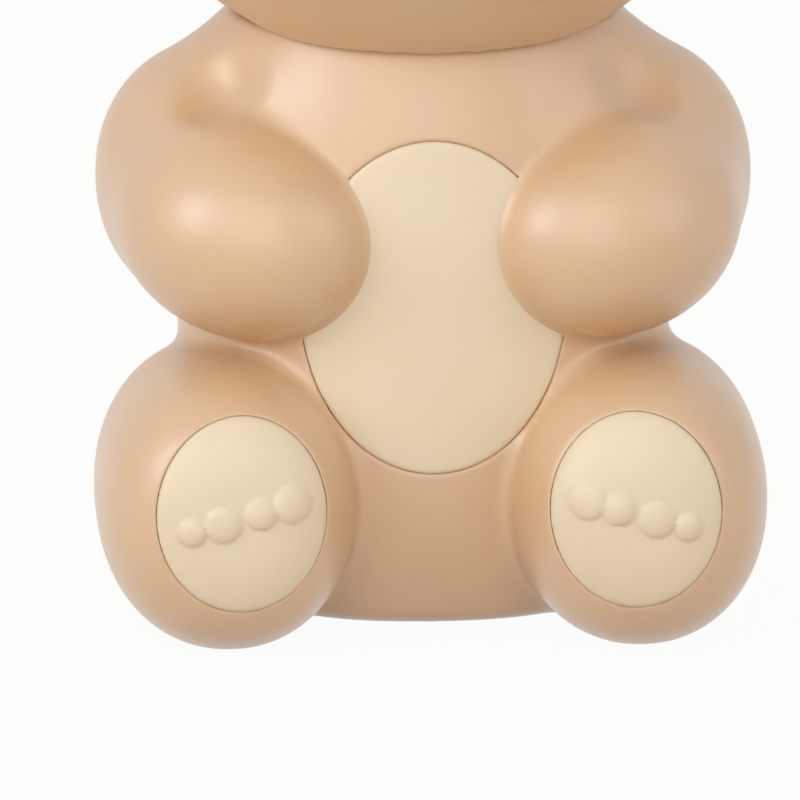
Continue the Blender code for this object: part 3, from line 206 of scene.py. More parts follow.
# Camera: the photograph's frame is 800 pixels square
FRAME_PIXELS = 800
PIXELS_PER_METRE = 6360
AXIS_PIXEL_X = 423
FLOOR_PIXEL_Y = 645
FEET_FRONT_Y = -0.035
CAMERA_AZIMUTH = -3
CAMERA_ELEVATION = 13
CAMERA_DISTANCE = 3.0
CAMERA_SEES = (0.01, 50)
FILM_WIDTH = 36

# Light
SEEN_RAYS = ("Is Camera Ray", "Is Glossy Ray", "Is Transmission Ray")
FLOOR_RADIUS = 6
FLOOR_WHITE = 0.965
FLOOR_COLOUR = (0.52, 0.43, 0.33)
WORLD_COLOUR = (1.0, 0.955, 0.90)
WORLD_STRENGTH = 0.60
LAMP_TARGET = (0, 0, 0.06)


# Implicit shapes: each takes an array of points and gives each point's distance to the surface

def superellipsoid(points, centre, radii, roundness, barrel, axis):
    """A rounded barrel: one exponent for its section across the axis, one for its sides along it."""
    across = [i for i in range(3) if i != axis]
    u = np.maximum(np.abs(points - np.array(centre)) / np.array(radii), TINY)
    ring = u[:, across[0]] ** roundness + u[:, across[1]] ** roundness
    level = (ring ** (barrel / roundness) + u[:, axis] ** barrel) ** (1 / barrel)
    outer = level ** (1 - barrel)
    steep = (outer * u[:, axis] ** (barrel - 1) / radii[axis]) ** 2
    for i in across:
        steep += (outer * ring ** (barrel / roundness - 1) * u[:, i] ** (roundness - 1) / radii[i]) ** 2
    return (level - 1) / np.maximum(np.sqrt(steep), 1 / max(radii) / 2)


def ellipsoid(points, centre, radii, axis):
    return superellipsoid(points, centre, radii, 2, 2, axis)


def gradient(function, points, step=1e-5):
    parts = np.empty_like(points)
    for i in range(3):
        shift = np.zeros(3)
        shift[i] = step
        parts[:, i] = (function(points + shift) - function(points - shift)) / (2 * step)
    return parts


def unit(ways):
    return ways / np.maximum(np.linalg.norm(ways, axis=1), TINY)[:, None]


def smooth_union(first, second, blend):
    share = np.clip(0.5 + 0.5 * (second - first) / blend, 0, 1)
    return second * (1 - share) + first * share - blend * share * (1 - share)


def smooth_cut(first, second, blend):
    """Only where both are inside, with the edge between them rounded."""
    return -smooth_union(-first, -second, blend)


def mirrored(points):
    return np.column_stack([np.abs(points[:, X]), points[:, Y], points[:, Z]])


def ramp(values, low, high):
    """0 up to low, 1 from high on, and an even curve between."""
    way = np.clip((values - low) / (high - low), 0, 1)
    return way * way * (3 - 2 * way)


def torso_distance(points):
    middle = (0, TORSO_Y, TORSO_MID_Z)
    barrel = superellipsoid(points, middle, TORSO_RADII, TORSO_ROUNDNESS, TORSO_BARREL, Z)
    return smooth_cut(barrel, TORSO_BASE_Z - points[:, Z], TORSO_BASE_ROUNDING)


def arm_turn():
    """Turns X to the direction from paw to elbow of the arm on the +X side."""
    return Matrix.Rotation(ARM_SWEEP, 3, "Z") @ Matrix.Rotation(-ARM_RISE, 3, "Y")


def arm_distance(points):
    """An egg for the upper arm and one lying from the elbow to the paw, run into each other."""
    side = mirrored(points)
    upper = superellipsoid(side, SHOULDER_AT, SHOULDER_RADII, SHOULDER_ROUNDNESS, SHOULDER_ROUNDNESS, Y)
    lower = ellipsoid((side - np.array(ARM_AT)) @ np.array(arm_turn()), (0, 0, 0), ARM_RADII, X)
    return smooth_union(upper, lower, ELBOW_BLEND)


def leg_distance(points):
    return superellipsoid(mirrored(points), LEG_AT, LEG_RADII, LEG_ROUNDNESS, LEG_BARREL, Y)


def body_distance(points):
    """Torso and limbs in one skin: a crisp crease round each paw that fades out toward the shoulder."""
    fade = ramp(points[:, Z], CREASE_FADES_FROM_Z, CREASE_FADES_TO_Z)
    crease = PAW_CREASE + (SHOULDER_BLEND - PAW_CREASE) * fade
    seated = smooth_union(torso_distance(points), leg_distance(points), LEG_BLEND)
    whole = smooth_union(seated, arm_distance(points), crease)
    dimple = np.linalg.norm(mirrored(points) - np.array(ARMPIT_AT), axis=1) - ARMPIT_RADIUS
    return smooth_cut(whole, -dimple, ARMPIT_BLEND)


def body_skin_distance(points):
    """The body with its flat deck under the head and its flat underside."""
    trimmed = smooth_cut(body_distance(points), points[:, Z] - BODY_TOP_Z, EDGE_ROUNDING)
    return smooth_cut(trimmed, -points[:, Z], EDGE_ROUNDING)


def head_distance(points):
    """A wide flattened ball with a fuller chin."""
    skull = superellipsoid(points, HEAD_AT, HEAD_RADII, HEAD_ROUNDNESS, HEAD_BARREL, Z)
    return smooth_union(skull, ellipsoid(points, CHIN_AT, CHIN_RADII, Z), CHIN_BLEND)


def head_skin_distance(points):
    """The head with its underside hollowed to sit on the shoulders."""
    seat = np.maximum(body_distance(points) - SEAM_GAP, points[:, Z] - HEAD_SEAM_Z)
    return smooth_cut(head_distance(points), -seat, HEAD_SEAT_ROUNDING)


def muzzle_distance(points):
    return ellipsoid(points, MUZZLE_AT, MUZZLE_RADII, Y)


def ear_distance(points):
    return ellipsoid(mirrored(points), EAR_AT, EAR_RADII, Y)


# Levels: outlines seen along one axis, negative inside

def oval_level(points, centre, half_sizes, power=2.0, axes=(X, Z)):
    """About the distance outside an oval drawn on two axes."""
    u = [np.maximum(np.abs(points[:, a] - c) / h, TINY) for a, c, h in zip(axes, centre, half_sizes)]
    level = (u[0] ** power + u[1] ** power) ** (1 / power)
    steep = np.sqrt(sum((level ** (1 - power) * v ** (power - 1) / h) ** 2 for v, h in zip(u, half_sizes)))
    return (level - 1) / steep


def round_level(points, centre, radius, axes=(X, Z)):
    return oval_level(points, centre, (radius, radius), axes=axes)


def grown(half_sizes, gap):
    return [size + gap for size in half_sizes]


def only_where(held, level):
    return np.where(held, level, FAR)


# Mesh helpers

def object_from(name, bm):
    mesh = bpy.data.meshes.new(name)
    bm.to_mesh(mesh)
    bm.free()
    piece = bpy.data.objects.new(name, mesh)
    bpy.context.scene.collection.objects.link(piece)
    return piece


def edited(piece, work):
    """Runs work on the piece's mesh as a bmesh."""
    bm = bmesh.new()
    bm.from_mesh(piece.data)
    work(bm)
    bm.to_mesh(piece.data)
    bm.free()
    return piece


def points_of(mesh):
    flat = np.empty(len(mesh.vertices) * 3)
    mesh.vertices.foreach_get("co", flat)
    return flat.reshape(-1, 3)


def places_of(bm):
    return np.array([v.co[:] for v in bm.verts]).reshape(-1, 3)


def middles_of(edges):
    return np.array([((e.verts[0].co + e.verts[1].co) / 2)[:] for e in edges]).reshape(-1, 3)


def remesh(piece, voxel):
    step = piece.modifiers.new("remesh", "REMESH")
    step.mode = "VOXEL"
    step.voxel_size = voxel
    depsgraph = bpy.context.evaluated_depsgraph_get()
    mesh = bpy.data.meshes.new_from_object(piece.evaluated_get(depsgraph))
    piece.modifiers.clear()
    piece.data = mesh


def even_out(bm):
    bmesh.ops.smooth_vert(bm, verts=bm.verts, factor=0.5, use_axis_x=True, use_axis_y=True, use_axis_z=True)


def draw_onto(piece, distance, relax, steps=3):
    """Moves each vertex along the gradient onto the surface, evening out the faces between."""
    for turn in range(relax + 1):
        at = points_of(piece.data)
        for _ in range(steps):
            way = gradient(distance, at)
            slope = np.maximum(np.linalg.norm(way, axis=1), LEAST_SLOPE)
            step = np.clip(distance(at) / slope**2, -LONGEST_STEP, LONGEST_STEP)
            at = at - way * step[:, None]
        piece.data.vertices.foreach_set("co", at.ravel())
        if turn < relax:
            edited(piece, even_out)


def ball_matrix(centre, radii):
    return Matrix.Translation(centre) @ Matrix.Diagonal((*radii, 1))


def ball(name, centre, radii, segments=96, rings=64):
    bm = bmesh.new()
    bmesh.ops.create_uvsphere(bm, u_segments=segments, v_segments=rings, radius=1,
                              matrix=ball_matrix(centre, radii))
    return object_from(name, bm)


def skin(name, places, distance):
    """A closed even skin on distance = 0, begun from balls at (centre, radii)."""
    bm = bmesh.new()
    for centre, radii in places:
        bmesh.ops.create_uvsphere(bm, u_segments=48, v_segments=32, radius=1,
                                  matrix=ball_matrix(centre, radii))
    piece = object_from(name, bm)
    remesh(piece, 2 * SKIN_VOXEL)
    draw_onto(piece, distance, relax=3)
    remesh(piece, SKIN_VOXEL)
    draw_onto(piece, distance, relax=1, steps=2)
    return piece


def draw_line(bm, level):
    """Adds a line of edges along level = 0."""
    bm.verts.ensure_lookup_table()
    bm.verts.index_update()
    values = list(level(places_of(bm)))
    on_line = {v for v, value in zip(bm.verts, values) if abs(value) < ON_LINE}
    crossing = []
    for edge in bm.edges:
        a, b = edge.verts
        first, second = values[a.index], values[b.index]
        if first * second < 0 and a not in on_line and b not in on_line:
            crossing.append((edge, a, first / (first - second)))
    for edge, start, share in crossing:
        on_line.add(bmesh.utils.edge_split(edge, start, share)[1])
    for face in {f for v in on_line for f in v.link_faces}:
        ends = [v for v in face.verts if v in on_line]
        if len(ends) == 2 and not any(e in ends[1].link_edges for e in ends[0].link_edges):
            bmesh.utils.face_split(face, ends[0], ends[1])


def faces_within(bm, level):
    faces = list(bm.faces)
    centres = np.array([f.calc_center_median()[:] for f in faces]).reshape(-1, 3)
    return [f for f, inside in zip(faces, level(centres) < 0) if inside]


def lip_layer(bm):
    """Marks vertices on rounded edges and walls, which lie off the skin's surface."""
    return bm.verts.layers.float.get("lip") or bm.verts.layers.float.new("lip")


def open_up(bm, level, inward, edge=SOFT_EDGE, rim_depth=RIM_DEPTH):
    """Removes the skin where level < 0, rounds the edge left over and gives it a wall going inward.

    inward takes points and gives each one's unit direction into the solid.
    """
    width, depth = edge
    for share in EDGE_LINES:
        draw_line(bm, lambda points, s=share: level(points) - s * width)
    draw_line(bm, level)
    bmesh.ops.delete(bm, geom=faces_within(bm, level), context="FACES")
    bm.verts.ensure_lookup_table()
    at = places_of(bm)
    near = 1 - np.clip(level(at) / width, 0, 1)
    moved = at + inward(at) * (depth * (1 - np.sqrt(np.maximum(0, 1 - near**2))))[:, None]
    lip = lip_layer(bm)
    for v, place, amount in zip(bm.verts, moved, near):
        if amount > 0:
            v.co = place
            v[lip] = 1
    open_edges = [e for e in bm.edges if e.is_boundary]
    outside = np.abs(level(middles_of(open_edges)))
    rim = [e for e, value in zip(open_edges, outside) if value < RIM_REACH]
    if rim_depth and rim:
        made = bmesh.ops.extrude_edge_only(bm, edges=rim)["geom"]
        wall = [g for g in made if isinstance(g, bmesh.types.BMVert)]
        at = np.array([v.co[:] for v in wall])
        for v, place in zip(wall, at + inward(at) * rim_depth):
            v.co = place
            v[lip] = 1


def inward_of(distance):
    """Straight into the solid, from its gradient."""
    return lambda points: -unit(gradient(distance, points))


def toward(direction):
    return lambda points: np.tile(np.array(direction, dtype=float), (len(points), 1))


def shade(piece, distance=None, sharp_angle=40):
    """Smooth shading, with exact normals where the mesh lies on distance = 0 undisturbed."""
    mesh = piece.data
    mesh.shade_smooth()
    mesh.set_sharp_from_angle(angle=math.radians(sharp_angle))
    if distance is None:
        return piece
    at = points_of(mesh)
    way = unit(gradient(distance, at))
    exact = np.abs(distance(at)) < ON_SURFACE
    if "lip" in mesh.attributes:
        lip = np.empty(len(mesh.vertices))
        mesh.attributes["lip"].data.foreach_get("value", lip)
        exact &= lip == 0
    corners = np.empty(len(mesh.loops) * 3)
    mesh.corner_normals.foreach_get("vector", corners)
    corners = corners.reshape(-1, 3)
    vertex = np.empty(len(mesh.loops), dtype=np.int64)
    mesh.loops.foreach_get("vertex_index", vertex)
    use = exact[vertex] & (np.einsum("ij,ij->i", way[vertex], corners) > SAME_WAY)
    corners[use] = way[vertex][use]
    mesh.normals_split_custom_set([tuple(n) for n in corners])
    return piece


def half_of(piece, name, side, split_y, distance):
    """The part of a skin on one side of the parting plane, its edge rounded."""
    twin = bpy.data.objects.new(name, piece.data.copy())
    bpy.context.scene.collection.objects.link(twin)

    def level(points):
        return side * (points[:, Y] - split_y) - FIT_GAP / 2

    return edited(twin, lambda bm: open_up(bm, level, inward_of(distance), PARTING_EDGE))


def surface_y(distance, offset, x, z):
    """Where a line along Y through (x, z) meets the front of distance = offset, found by halving."""
    near, far = np.full(x.shape, FRONT_OF_ALL_Y), np.zeros(x.shape)
    for _ in range(HALVINGS):
        middle = (near + far) / 2
        outside = distance(np.column_stack([x, middle, z])) > offset
        near, far = np.where(outside, middle, near), np.where(outside, far, middle)
    return (near + far) / 2


def sheet(name, low, high, spacing, height):
    """A fine grid over x and z whose y comes from height(x, z), seen from the front."""
    columns = np.arange(low[0], high[0] + spacing, spacing)
    rows = np.arange(low[1], high[1] + spacing, spacing)
    x, z = np.meshgrid(columns, rows)
    y = height(x.ravel(), z.ravel())
    bm = bmesh.new()
    verts = [bm.verts.new(at) for at in zip(x.ravel(), y, z.ravel())]
    wide = len(columns)
    for j in range(len(rows) - 1):
        for i in range(wide - 1):
            k = j * wide + i
            bm.faces.new((verts[k], verts[k + 1], verts[k + wide + 1], verts[k + wide]))
    return object_from(name, bm)


def insert(name, centre, half_sizes, spacing, distance, inside, relief=None, edge=SOFT_EDGE):
    """A flush inset: a sheet on the skin, trimmed to inside < 0, with a rounded edge and side walls."""
    def height(x, z):
        y = surface_y(distance, INSERT_PROUD, x, z)
        return y - relief(x, z) if relief else y

    low = [c - h - SHEET_MARGIN for c, h in zip(centre, half_sizes)]
    high = [c + h + SHEET_MARGIN for c, h in zip(centre, half_sizes)]
    piece = sheet(name, low, high, spacing, height)
    edited(piece, lambda bm: open_up(bm, lambda p: -inside(p), toward(BACKWARD), edge))
    return shade(piece)


def turned(name, centre, profile, segments=64):
    """A solid of revolution about a vertical axis from (radius, height) pairs, bottom to top."""
    bm = bmesh.new()
    turns = [2 * math.pi * i / segments for i in range(segments)]
    loops = []
    for radius, z in profile:
        places = [(centre[0] + radius * math.cos(t), centre[1] + radius * math.sin(t), z) for t in turns]
        loops.append([bm.verts.new(place) for place in places])
    for lower, upper in zip(loops, loops[1:]):
        for i in range(segments):
            j = (i + 1) % segments
            bm.faces.new((lower[i], lower[j], upper[j], upper[i]))
    bm.faces.new(loops[0][::-1])
    bm.faces.new(loops[-1])
    return object_from(name, bm)


def low_edge(radius, z, rounding):
    """A quarter-round edge from a face at height z out to the side at radius, for turned."""
    turns = [math.pi / 2 * i / EDGE_STEPS for i in range(EDGE_STEPS + 1)]
    return [(radius - rounding * (1 - math.sin(t)), z + rounding * (1 - math.cos(t))) for t in turns]


def high_edge(radius, z, rounding):
    """The same from the side up to a face at height z."""
    return [(r, 2 * z - height) for r, height in reversed(low_edge(radius, z, rounding))]


def pointed(piece, at, along):
    """Turns a piece built about the vertical through the origin so +Z points along, then moves it."""
    turn = Vector(UP).rotation_difference(Vector(along)).to_matrix().to_4x4()
    piece.data.transform(Matrix.Translation(at) @ turn)
    return piece


# Materials

def srgb(*levels):
    """A colour given as the eye sees it, 0 to 255, as the linear values a shader takes."""
    return tuple(((v / 255 + 0.055) / 1.055) ** 2.4 if v > 10 else v / 255 / 12.92 for v in levels)


class Nodes:
    """Short calls for building one material's nodes."""

    def __init__(self, name):
        self.material = bpy.data.materials.new(name)
        self.material.use_nodes = True
        self.tree = self.material.node_tree
        self.shader = self.tree.nodes["Principled BSDF"]
        self.place = self.add("ShaderNodeTexCoord").outputs["Object"]

    def add(self, kind, **settings):
        node = self.tree.nodes.new(kind)
        for key, value in settings.items():
            setattr(node, key, value)
        return node

    def link(self, source, socket):
        self.tree.links.new(source, socket)

    def noise(self, scale, detail=3.0, stretch=(1, 1, 1)):
        mapping = self.add("ShaderNodeMapping")
        mapping.inputs["Scale"].default_value = stretch
        self.link(self.place, mapping.inputs["Vector"])
        node = self.add("ShaderNodeTexNoise")
        node.inputs["Scale"].default_value = scale
        node.inputs["Detail"].default_value = detail
        self.link(mapping.outputs["Vector"], node.inputs["Vector"])
        return node.outputs["Fac"]

    def cells(self, scale, feature="F1"):
        node = self.add("ShaderNodeTexVoronoi", feature=feature)
        node.inputs["Scale"].default_value = scale
        self.link(self.place, node.inputs["Vector"])
        return node.outputs["Distance"]

    def spread(self, value, low=0.0, high=1.0):
        """Maps the range where noise mostly lies to low..high."""
        node = self.add("ShaderNodeMapRange")
        node.inputs["From Min"].default_value = NOISE_LOW
        node.inputs["From Max"].default_value = NOISE_HIGH
        node.inputs["To Min"].default_value = low
        node.inputs["To Max"].default_value = high
        self.link(value, node.inputs["Value"])
        return node.outputs["Result"]

    def mix(self, factor, first, second):
        """Between two colours, each a tuple or another node's output."""
        node = self.add("ShaderNodeMix", data_type="RGBA")
        self.link(factor, node.inputs["Factor"])
        for socket, colour in ((node.inputs[6], first), (node.inputs[7], second)):
            if isinstance(colour, tuple):
                socket.default_value = (*colour, 1)
            else:
                self.link(colour, socket)
        return node.outputs[2]

    def colour(self, source):
        self.link(source, self.shader.inputs["Base Color"])

    def roughness(self, value, low, high):
        self.link(self.spread(value, low, high), self.shader.inputs["Roughness"])

    def bump(self, height, depth):
        node = self.add("ShaderNodeBump")
        node.inputs["Strength"].default_value = 1.0
        node.inputs["Distance"].default_value = depth
        self.link(height, node.inputs["Height"])
        self.link(node.outputs["Normal"], self.shader.inputs["Normal"])

    def set(self, **values):
        for key, value in values.items():
            self.shader.inputs[key.replace("_", " ")].default_value = value


def moulded(name, colour, shadow, roughness, spread=0.04, grain=2500, grain_depth=0.000004, soft=0.0,
            soft_colour=(1.0, 0.4, 0.2), gloss=0.5, coat=0.0):
    """Moulded plastic: faint flow clouds in the colour, uneven gloss and a fine eroded grain."""
    nodes = Nodes(name)
    nodes.colour(nodes.mix(nodes.spread(nodes.noise(38, detail=2)), colour, shadow))
    nodes.roughness(nodes.noise(90, detail=4), roughness - spread, roughness + spread)
    nodes.bump(nodes.noise(grain, detail=2), grain_depth)
    nodes.set(Specular_IOR_Level=gloss, Coat_Weight=coat, Coat_Roughness=COAT_ROUGHNESS)
    if soft:
        nodes.set(Subsurface_Weight=soft, Subsurface_Scale=SOFT_DEPTH, Subsurface_Radius=soft_colour)
    return nodes.material


def brushed(name, colour, roughness):
    """Metal with fine streaks."""
    nodes = Nodes(name)
    streaks = nodes.noise(900, stretch=(1, 1, 12))
    nodes.colour(nodes.mix(nodes.spread(streaks), colour, tuple(0.8 * c for c in colour)))
    nodes.roughness(streaks, roughness - 0.06, roughness + 0.08)
    nodes.bump(streaks, 0.000006)
    nodes.set(Metallic=1.0)
    return nodes.material


def frosted(name, colour, roughness, clear):
    """Cloudy see-through plastic."""
    nodes = Nodes(name)
    nodes.colour(nodes.mix(nodes.spread(nodes.noise(60, detail=2)), colour, tuple(0.93 * c for c in colour)))
    nodes.roughness(nodes.noise(200), roughness - 0.05, roughness + 0.05)
    nodes.bump(nodes.noise(1800, detail=2), 0.000005)
    nodes.set(Transmission_Weight=clear, IOR=1.49)
    return nodes.material


def board(name):
    """Green solder mask with faint copper tracks under it and the glass weave's texture."""
    nodes = Nodes(name)
    tracks = nodes.add("ShaderNodeMath", operation="LESS_THAN")
    tracks.inputs[1].default_value = 0.05
    nodes.link(nodes.cells(420, "DISTANCE_TO_EDGE"), tracks.inputs[0])
    green = nodes.mix(nodes.spread(nodes.noise(120)), srgb(26, 92, 50), srgb(20, 76, 42))
    nodes.colour(nodes.mix(tracks.outputs[0], green, srgb(58, 130, 74)))
    nodes.roughness(nodes.noise(400), 0.3, 0.45)
    nodes.bump(nodes.noise(3000, detail=1), 0.000008)
    return nodes.material


def dimpled(name, colour, shadow):
    """Rubber with a fine dimpled grip."""
    nodes = Nodes(name)
    nodes.colour(nodes.mix(nodes.spread(nodes.noise(140)), colour, shadow))
    nodes.roughness(nodes.noise(300), 0.75, 0.9)
    nodes.bump(nodes.cells(1100), 0.00006)
    return nodes.material


def make_materials():
    """Every material under its slot's name, whatever number Blender adds to the material's own."""
    made = {}

    def add(make, name, *colours, **looks):
        made[name] = make(name, *colours, **looks)

    add(moulded, "caramel_shell", srgb(216, 180, 143), srgb(213, 176, 138), roughness=0.44, spread=0.03,
        soft=0.15, gloss=0.9, coat=0.8)
    add(moulded, "cream_trim", srgb(231, 216, 188), srgb(228, 212, 183), roughness=0.45, spread=0.03,
        soft=0.15, soft_colour=(1.0, 0.7, 0.4))
    add(moulded, "silicone_flap", srgb(228, 210, 178), srgb(222, 203, 170), roughness=0.6, spread=0.05,
        soft=0.2)
    add(frosted, "frosted_plastic", srgb(232, 236, 236), roughness=0.35, clear=0.75)
    add(moulded, "base_plastic", srgb(168, 130, 96), srgb(160, 122, 90), roughness=0.55, spread=0.05,
        grain=1600, grain_depth=0.00001)
    add(dimpled, "rubber_mat", srgb(46, 44, 43), srgb(38, 36, 36))
    add(moulded, "grey_silicone", srgb(126, 126, 128), srgb(116, 116, 119), roughness=0.6, spread=0.05)
    add(moulded, "brown_gloss", srgb(58, 36, 26), srgb(50, 31, 22), roughness=0.14, spread=0.03,
        grain_depth=0.000001)
    add(moulded, "white_plastic", srgb(234, 233, 228), srgb(228, 227, 221), roughness=0.4, soft=0.1)
    add(brushed, "steel", srgb(200, 200, 203), roughness=0.3)
    add(moulded, "smoked_plastic", srgb(24, 21, 24), srgb(18, 16, 18), roughness=0.1, spread=0.03,
        grain_depth=0.000001)
    add(board, "circuit_board")
    add(moulded, "cell_wrap", srgb(52, 92, 150), srgb(46, 84, 140), roughness=0.25, spread=0.05)
    return made


MATERIALS = make_materials()


def dress(piece, slot, body, *nodes):
    """Gives a piece its material, hangs it on its body and lets it stand for CAD nodes."""
    piece.data.materials.clear()
    piece.data.materials.append(MATERIALS[slot])
    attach(piece, body)
    if nodes:
        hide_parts(*nodes)
    return piece


def make_halves(whole, body, split_y, distance):
    """The front and rear shell of the body or the head, from one skin."""
    for name, side in (("front", -1), ("rear", 1)):
        node = f"{body}_{name}_shell"
        half = half_of(whole, f"{node}_skin", side, split_y, distance)
        dress(shade(half, distance), "caramel_shell", body, node)
    bpy.data.objects.remove(whole)


# The two body halves

def body_places():
    """Balls inside the torso and limbs, small enough that arms and legs start apart."""
    places = [((0, TORSO_Y, TORSO_MID_Z), TORSO_RADII)]
    for side in (-1, 1):
        for at, radii in ((LEG_AT, LEG_RADII), (SHOULDER_AT, SHOULDER_RADII), (ARM_AT, ARM_RADII)):
            places.append(((side * at[0], at[1], at[2]), [r - START_SHRINK for r in radii]))
    return places


def belly_window_level(points):
    """Inside the belly oval and off the paws."""
    oval = oval_level(points, (0, BELLY_Z), grown(BELLY_HALF_SIZES, SEAM_WIDTH))
    level = np.maximum(oval, WINDOW_OFF_PAW - arm_distance(points))
    return only_where(points[:, Y] < BELLY_BEFORE_Y, level)


def sole_level(points, gap):
    level = oval_level(mirrored(points), (SOLE_X, SOLE_Z), grown(SOLE_HALF_SIZES, gap))
    return only_where(points[:, Y] < SOLES_BEFORE_Y, level)


def neck_level(points):
    level = round_level(points, (0, NECK_Y), NECK_RADIUS + FIT_GAP, axes=(X, Y))
    return only_where(points[:, Z] > NECK_ABOVE_Z, level)


def base_level(points):
    level = oval_level(points, (0, TORSO_Y), grown(BASE_HALF_SIZES, FIT_GAP), axes=(X, Y))
    return only_where(points[:, Z] < BASE_BELOW_Z, level)


def make_body():
    whole = skin("body", body_places(), body_skin_distance)

    def openings(bm):
        open_up(bm, belly_window_level, toward(BACKWARD))
        open_up(bm, lambda p: sole_level(p, SEAM_WIDTH), toward(BACKWARD))
        open_up(bm, neck_level, toward(DOWN), FINE_EDGE)
        open_up(bm, base_level, toward(UP), FINE_EDGE)

    make_halves(edited(whole, openings), "body", BODY_SPLIT_Y, body_skin_distance)


def belly_panel_level(points):
    """Inside the belly oval and a little way under the paws."""
    oval = oval_level(points, (0, BELLY_Z), BELLY_HALF_SIZES)
    return np.maximum(oval, -PANEL_UNDER_PAW - arm_distance(points))


def make_belly():
    panel = insert("belly_panel_skin", (0, BELLY_Z), BELLY_HALF_SIZES, BELLY_GRID, torso_distance,
                   belly_panel_level)
    dress(panel, "cream_trim", "body", "belly_panel")


def bubbles(side):
    """Height of the row of raised bubbles above a sole, as a function of x and z."""
    def relief(x, z):
        total = np.zeros_like(x)
        for along, radius in SOLE_BUBBLES:
            middle_x = side * (SOLE_X - along * math.cos(SOLE_ROW_TILT))
            middle_z = SOLE_Z + along * math.sin(SOLE_ROW_TILT)
            reach = np.sqrt((x - middle_x) ** 2 + (z - middle_z) ** 2) / radius
            dome = SOLE_BUBBLE_RISE * np.sqrt(np.maximum(0, 1 - reach**2))
            total = np.maximum(total, dome)
        return total
    return relief


def make_soles():
    for side, label in SIDES:
        pad = insert(f"{label}_sole_pad_skin", (side * SOLE_X, SOLE_Z), SOLE_HALF_SIZES, SOLE_GRID,
                     leg_distance, lambda p: sole_level(p, 0.0), bubbles(side))
        dress(pad, "cream_trim", "body", f"{label}_sole_pad")


# The head

def button_level(points):
    level = round_level(points, (0, BUTTON_Z), BUTTON_RADIUS + FIT_GAP)
    return only_where(points[:, Y] > 0, level)


def light_level(points):
    level = round_level(points, (0, LIGHT_Z), LIGHT_RADIUS + FIT_GAP)
    return only_where(points[:, Y] > 0, level)


def flap_level(points, gap):
    level = oval_level(points, (0, PORT_Z), grown(FLAP_HALF_SIZES, gap), FLAP_POWER)
    return only_where(points[:, Y] > 0, level)


def port_level(points):
    across = np.abs(points[:, X]) - PORT_HALF_SIZES[0]
    up = np.abs(points[:, Z] - PORT_Z) - PORT_HALF_SIZES[1]
    return only_where(points[:, Y] > 0, np.maximum(across, up))


def head_base_level(points):
    level = oval_level(points, (0, NECK_Y), grown(HEAD_BASE_HALF_SIZES, FIT_GAP), axes=(X, Y))
    return only_where(points[:, Z] < HEAD_BASE_BELOW_Z, level)


def sink_port(bm):
    """Presses the flap's recess into the skin, with the port's mouth open in its floor."""
    for gap in (FIT_GAP, RECESS_FLOOR_GROW):
        draw_line(bm, lambda p, g=gap: flap_level(p, g))
    bm.verts.ensure_lookup_table()
    at = places_of(bm)
    deep = flap_level(at, (FIT_GAP + RECESS_FLOOR_GROW) / 2) < 0
    lip = lip_layer(bm)
    moved = at + inward_of(head_distance)(at) * (FLAP_DEPTH + 2 * FIT_GAP)
    for v, place, sunk in zip(bm.verts, moved, deep):
        if sunk:
            v.co = place
            v[lip] = 1
    open_up(bm, port_level, toward(FORWARD), PORT_EDGE)


def make_head():
    whole = skin("head", [(HEAD_AT, HEAD_RADII)], head_skin_distance)

    def openings(bm):
        open_up(bm, button_level, toward(FORWARD), BUTTON_EDGE)
        open_up(bm, light_level, toward(FORWARD), FINE_EDGE)
        sink_port(bm)
        open_up(bm, head_base_level, toward(UP), FINE_EDGE)

    make_halves(edited(whole, openings), "head", HEAD_AT[1], head_skin_distance)


def fit_to_head(bm, distance):
    """Takes away what a piece on the head would have inside it."""
    open_up(bm, lambda p: head_distance(p) - SEAM_WIDTH, inward_of(distance), FITTED_EDGE)


def ear_inner_level(points, gap):
    centre = (EAR_AT[0], EAR_AT[2] + EAR_INNER_LIFT)
    circle = round_level(mirrored(points), centre, EAR_INNER_RADIUS + gap)
    off_head = EAR_INNER_OFF_HEAD - gap - head_distance(points)
    return only_where(points[:, Y] < EAR_AT[1], np.maximum(circle, off_head))


def make_ears():
    for side, label in SIDES:
        ear = ball(f"{label}_ear_skin", (side * EAR_AT[0], EAR_AT[1], EAR_AT[2]), EAR_RADII, 128, 96)

        def openings(bm):
            fit_to_head(bm, ear_distance)
            open_up(bm, lambda p: ear_inner_level(p, FIT_GAP), toward(BACKWARD))

        dress(shade(edited(ear, openings), ear_distance), "caramel_shell", "head", f"{label}_ear")
        centre = (side * EAR_AT[0], EAR_AT[2] + EAR_INNER_LIFT)
        inner = insert(f"{label}_ear_inner_skin", centre, (EAR_INNER_RADIUS, EAR_INNER_RADIUS), EAR_GRID,
                       ear_distance, lambda p: ear_inner_level(p, 0.0))
        dress(inner, "cream_trim", "head", f"{label}_ear_inner")


def underside_level(points, y, radius):
    """Inside a round hole in the muzzle's underside."""
    level = round_level(points, (0, y), radius + FIT_GAP, axes=(X, Y))
    return only_where(points[:, Z] < MUZZLE_AT[2], level)


def make_muzzle():
    cover = ball("muzzle_cover_skin", MUZZLE_AT, MUZZLE_RADII, 160, 120)

    def openings(bm):
        fit_to_head(bm, muzzle_distance)
        open_up(bm, lambda p: underside_level(p, NOZZLE_Y, NOZZLE_RADIUS), toward(UP), FITTED_EDGE)
        open_up(bm, lambda p: underside_level(p, SENSOR_Y, SENSOR_RADIUS), toward(UP), PARTING_EDGE)

    dress(shade(edited(cover, openings), muzzle_distance), "cream_trim", "head", "muzzle_cover")


def make_nose():
    nose = ball("nose_skin", NOSE_AT, NOSE_RADII)
    edited(nose, lambda bm: open_up(bm, lambda p: muzzle_distance(p) - FIT_GAP, toward(BACKWARD), FINE_EDGE,
                                    rim_depth=0))
    dress(shade(nose), "brown_gloss", "head", "nose")


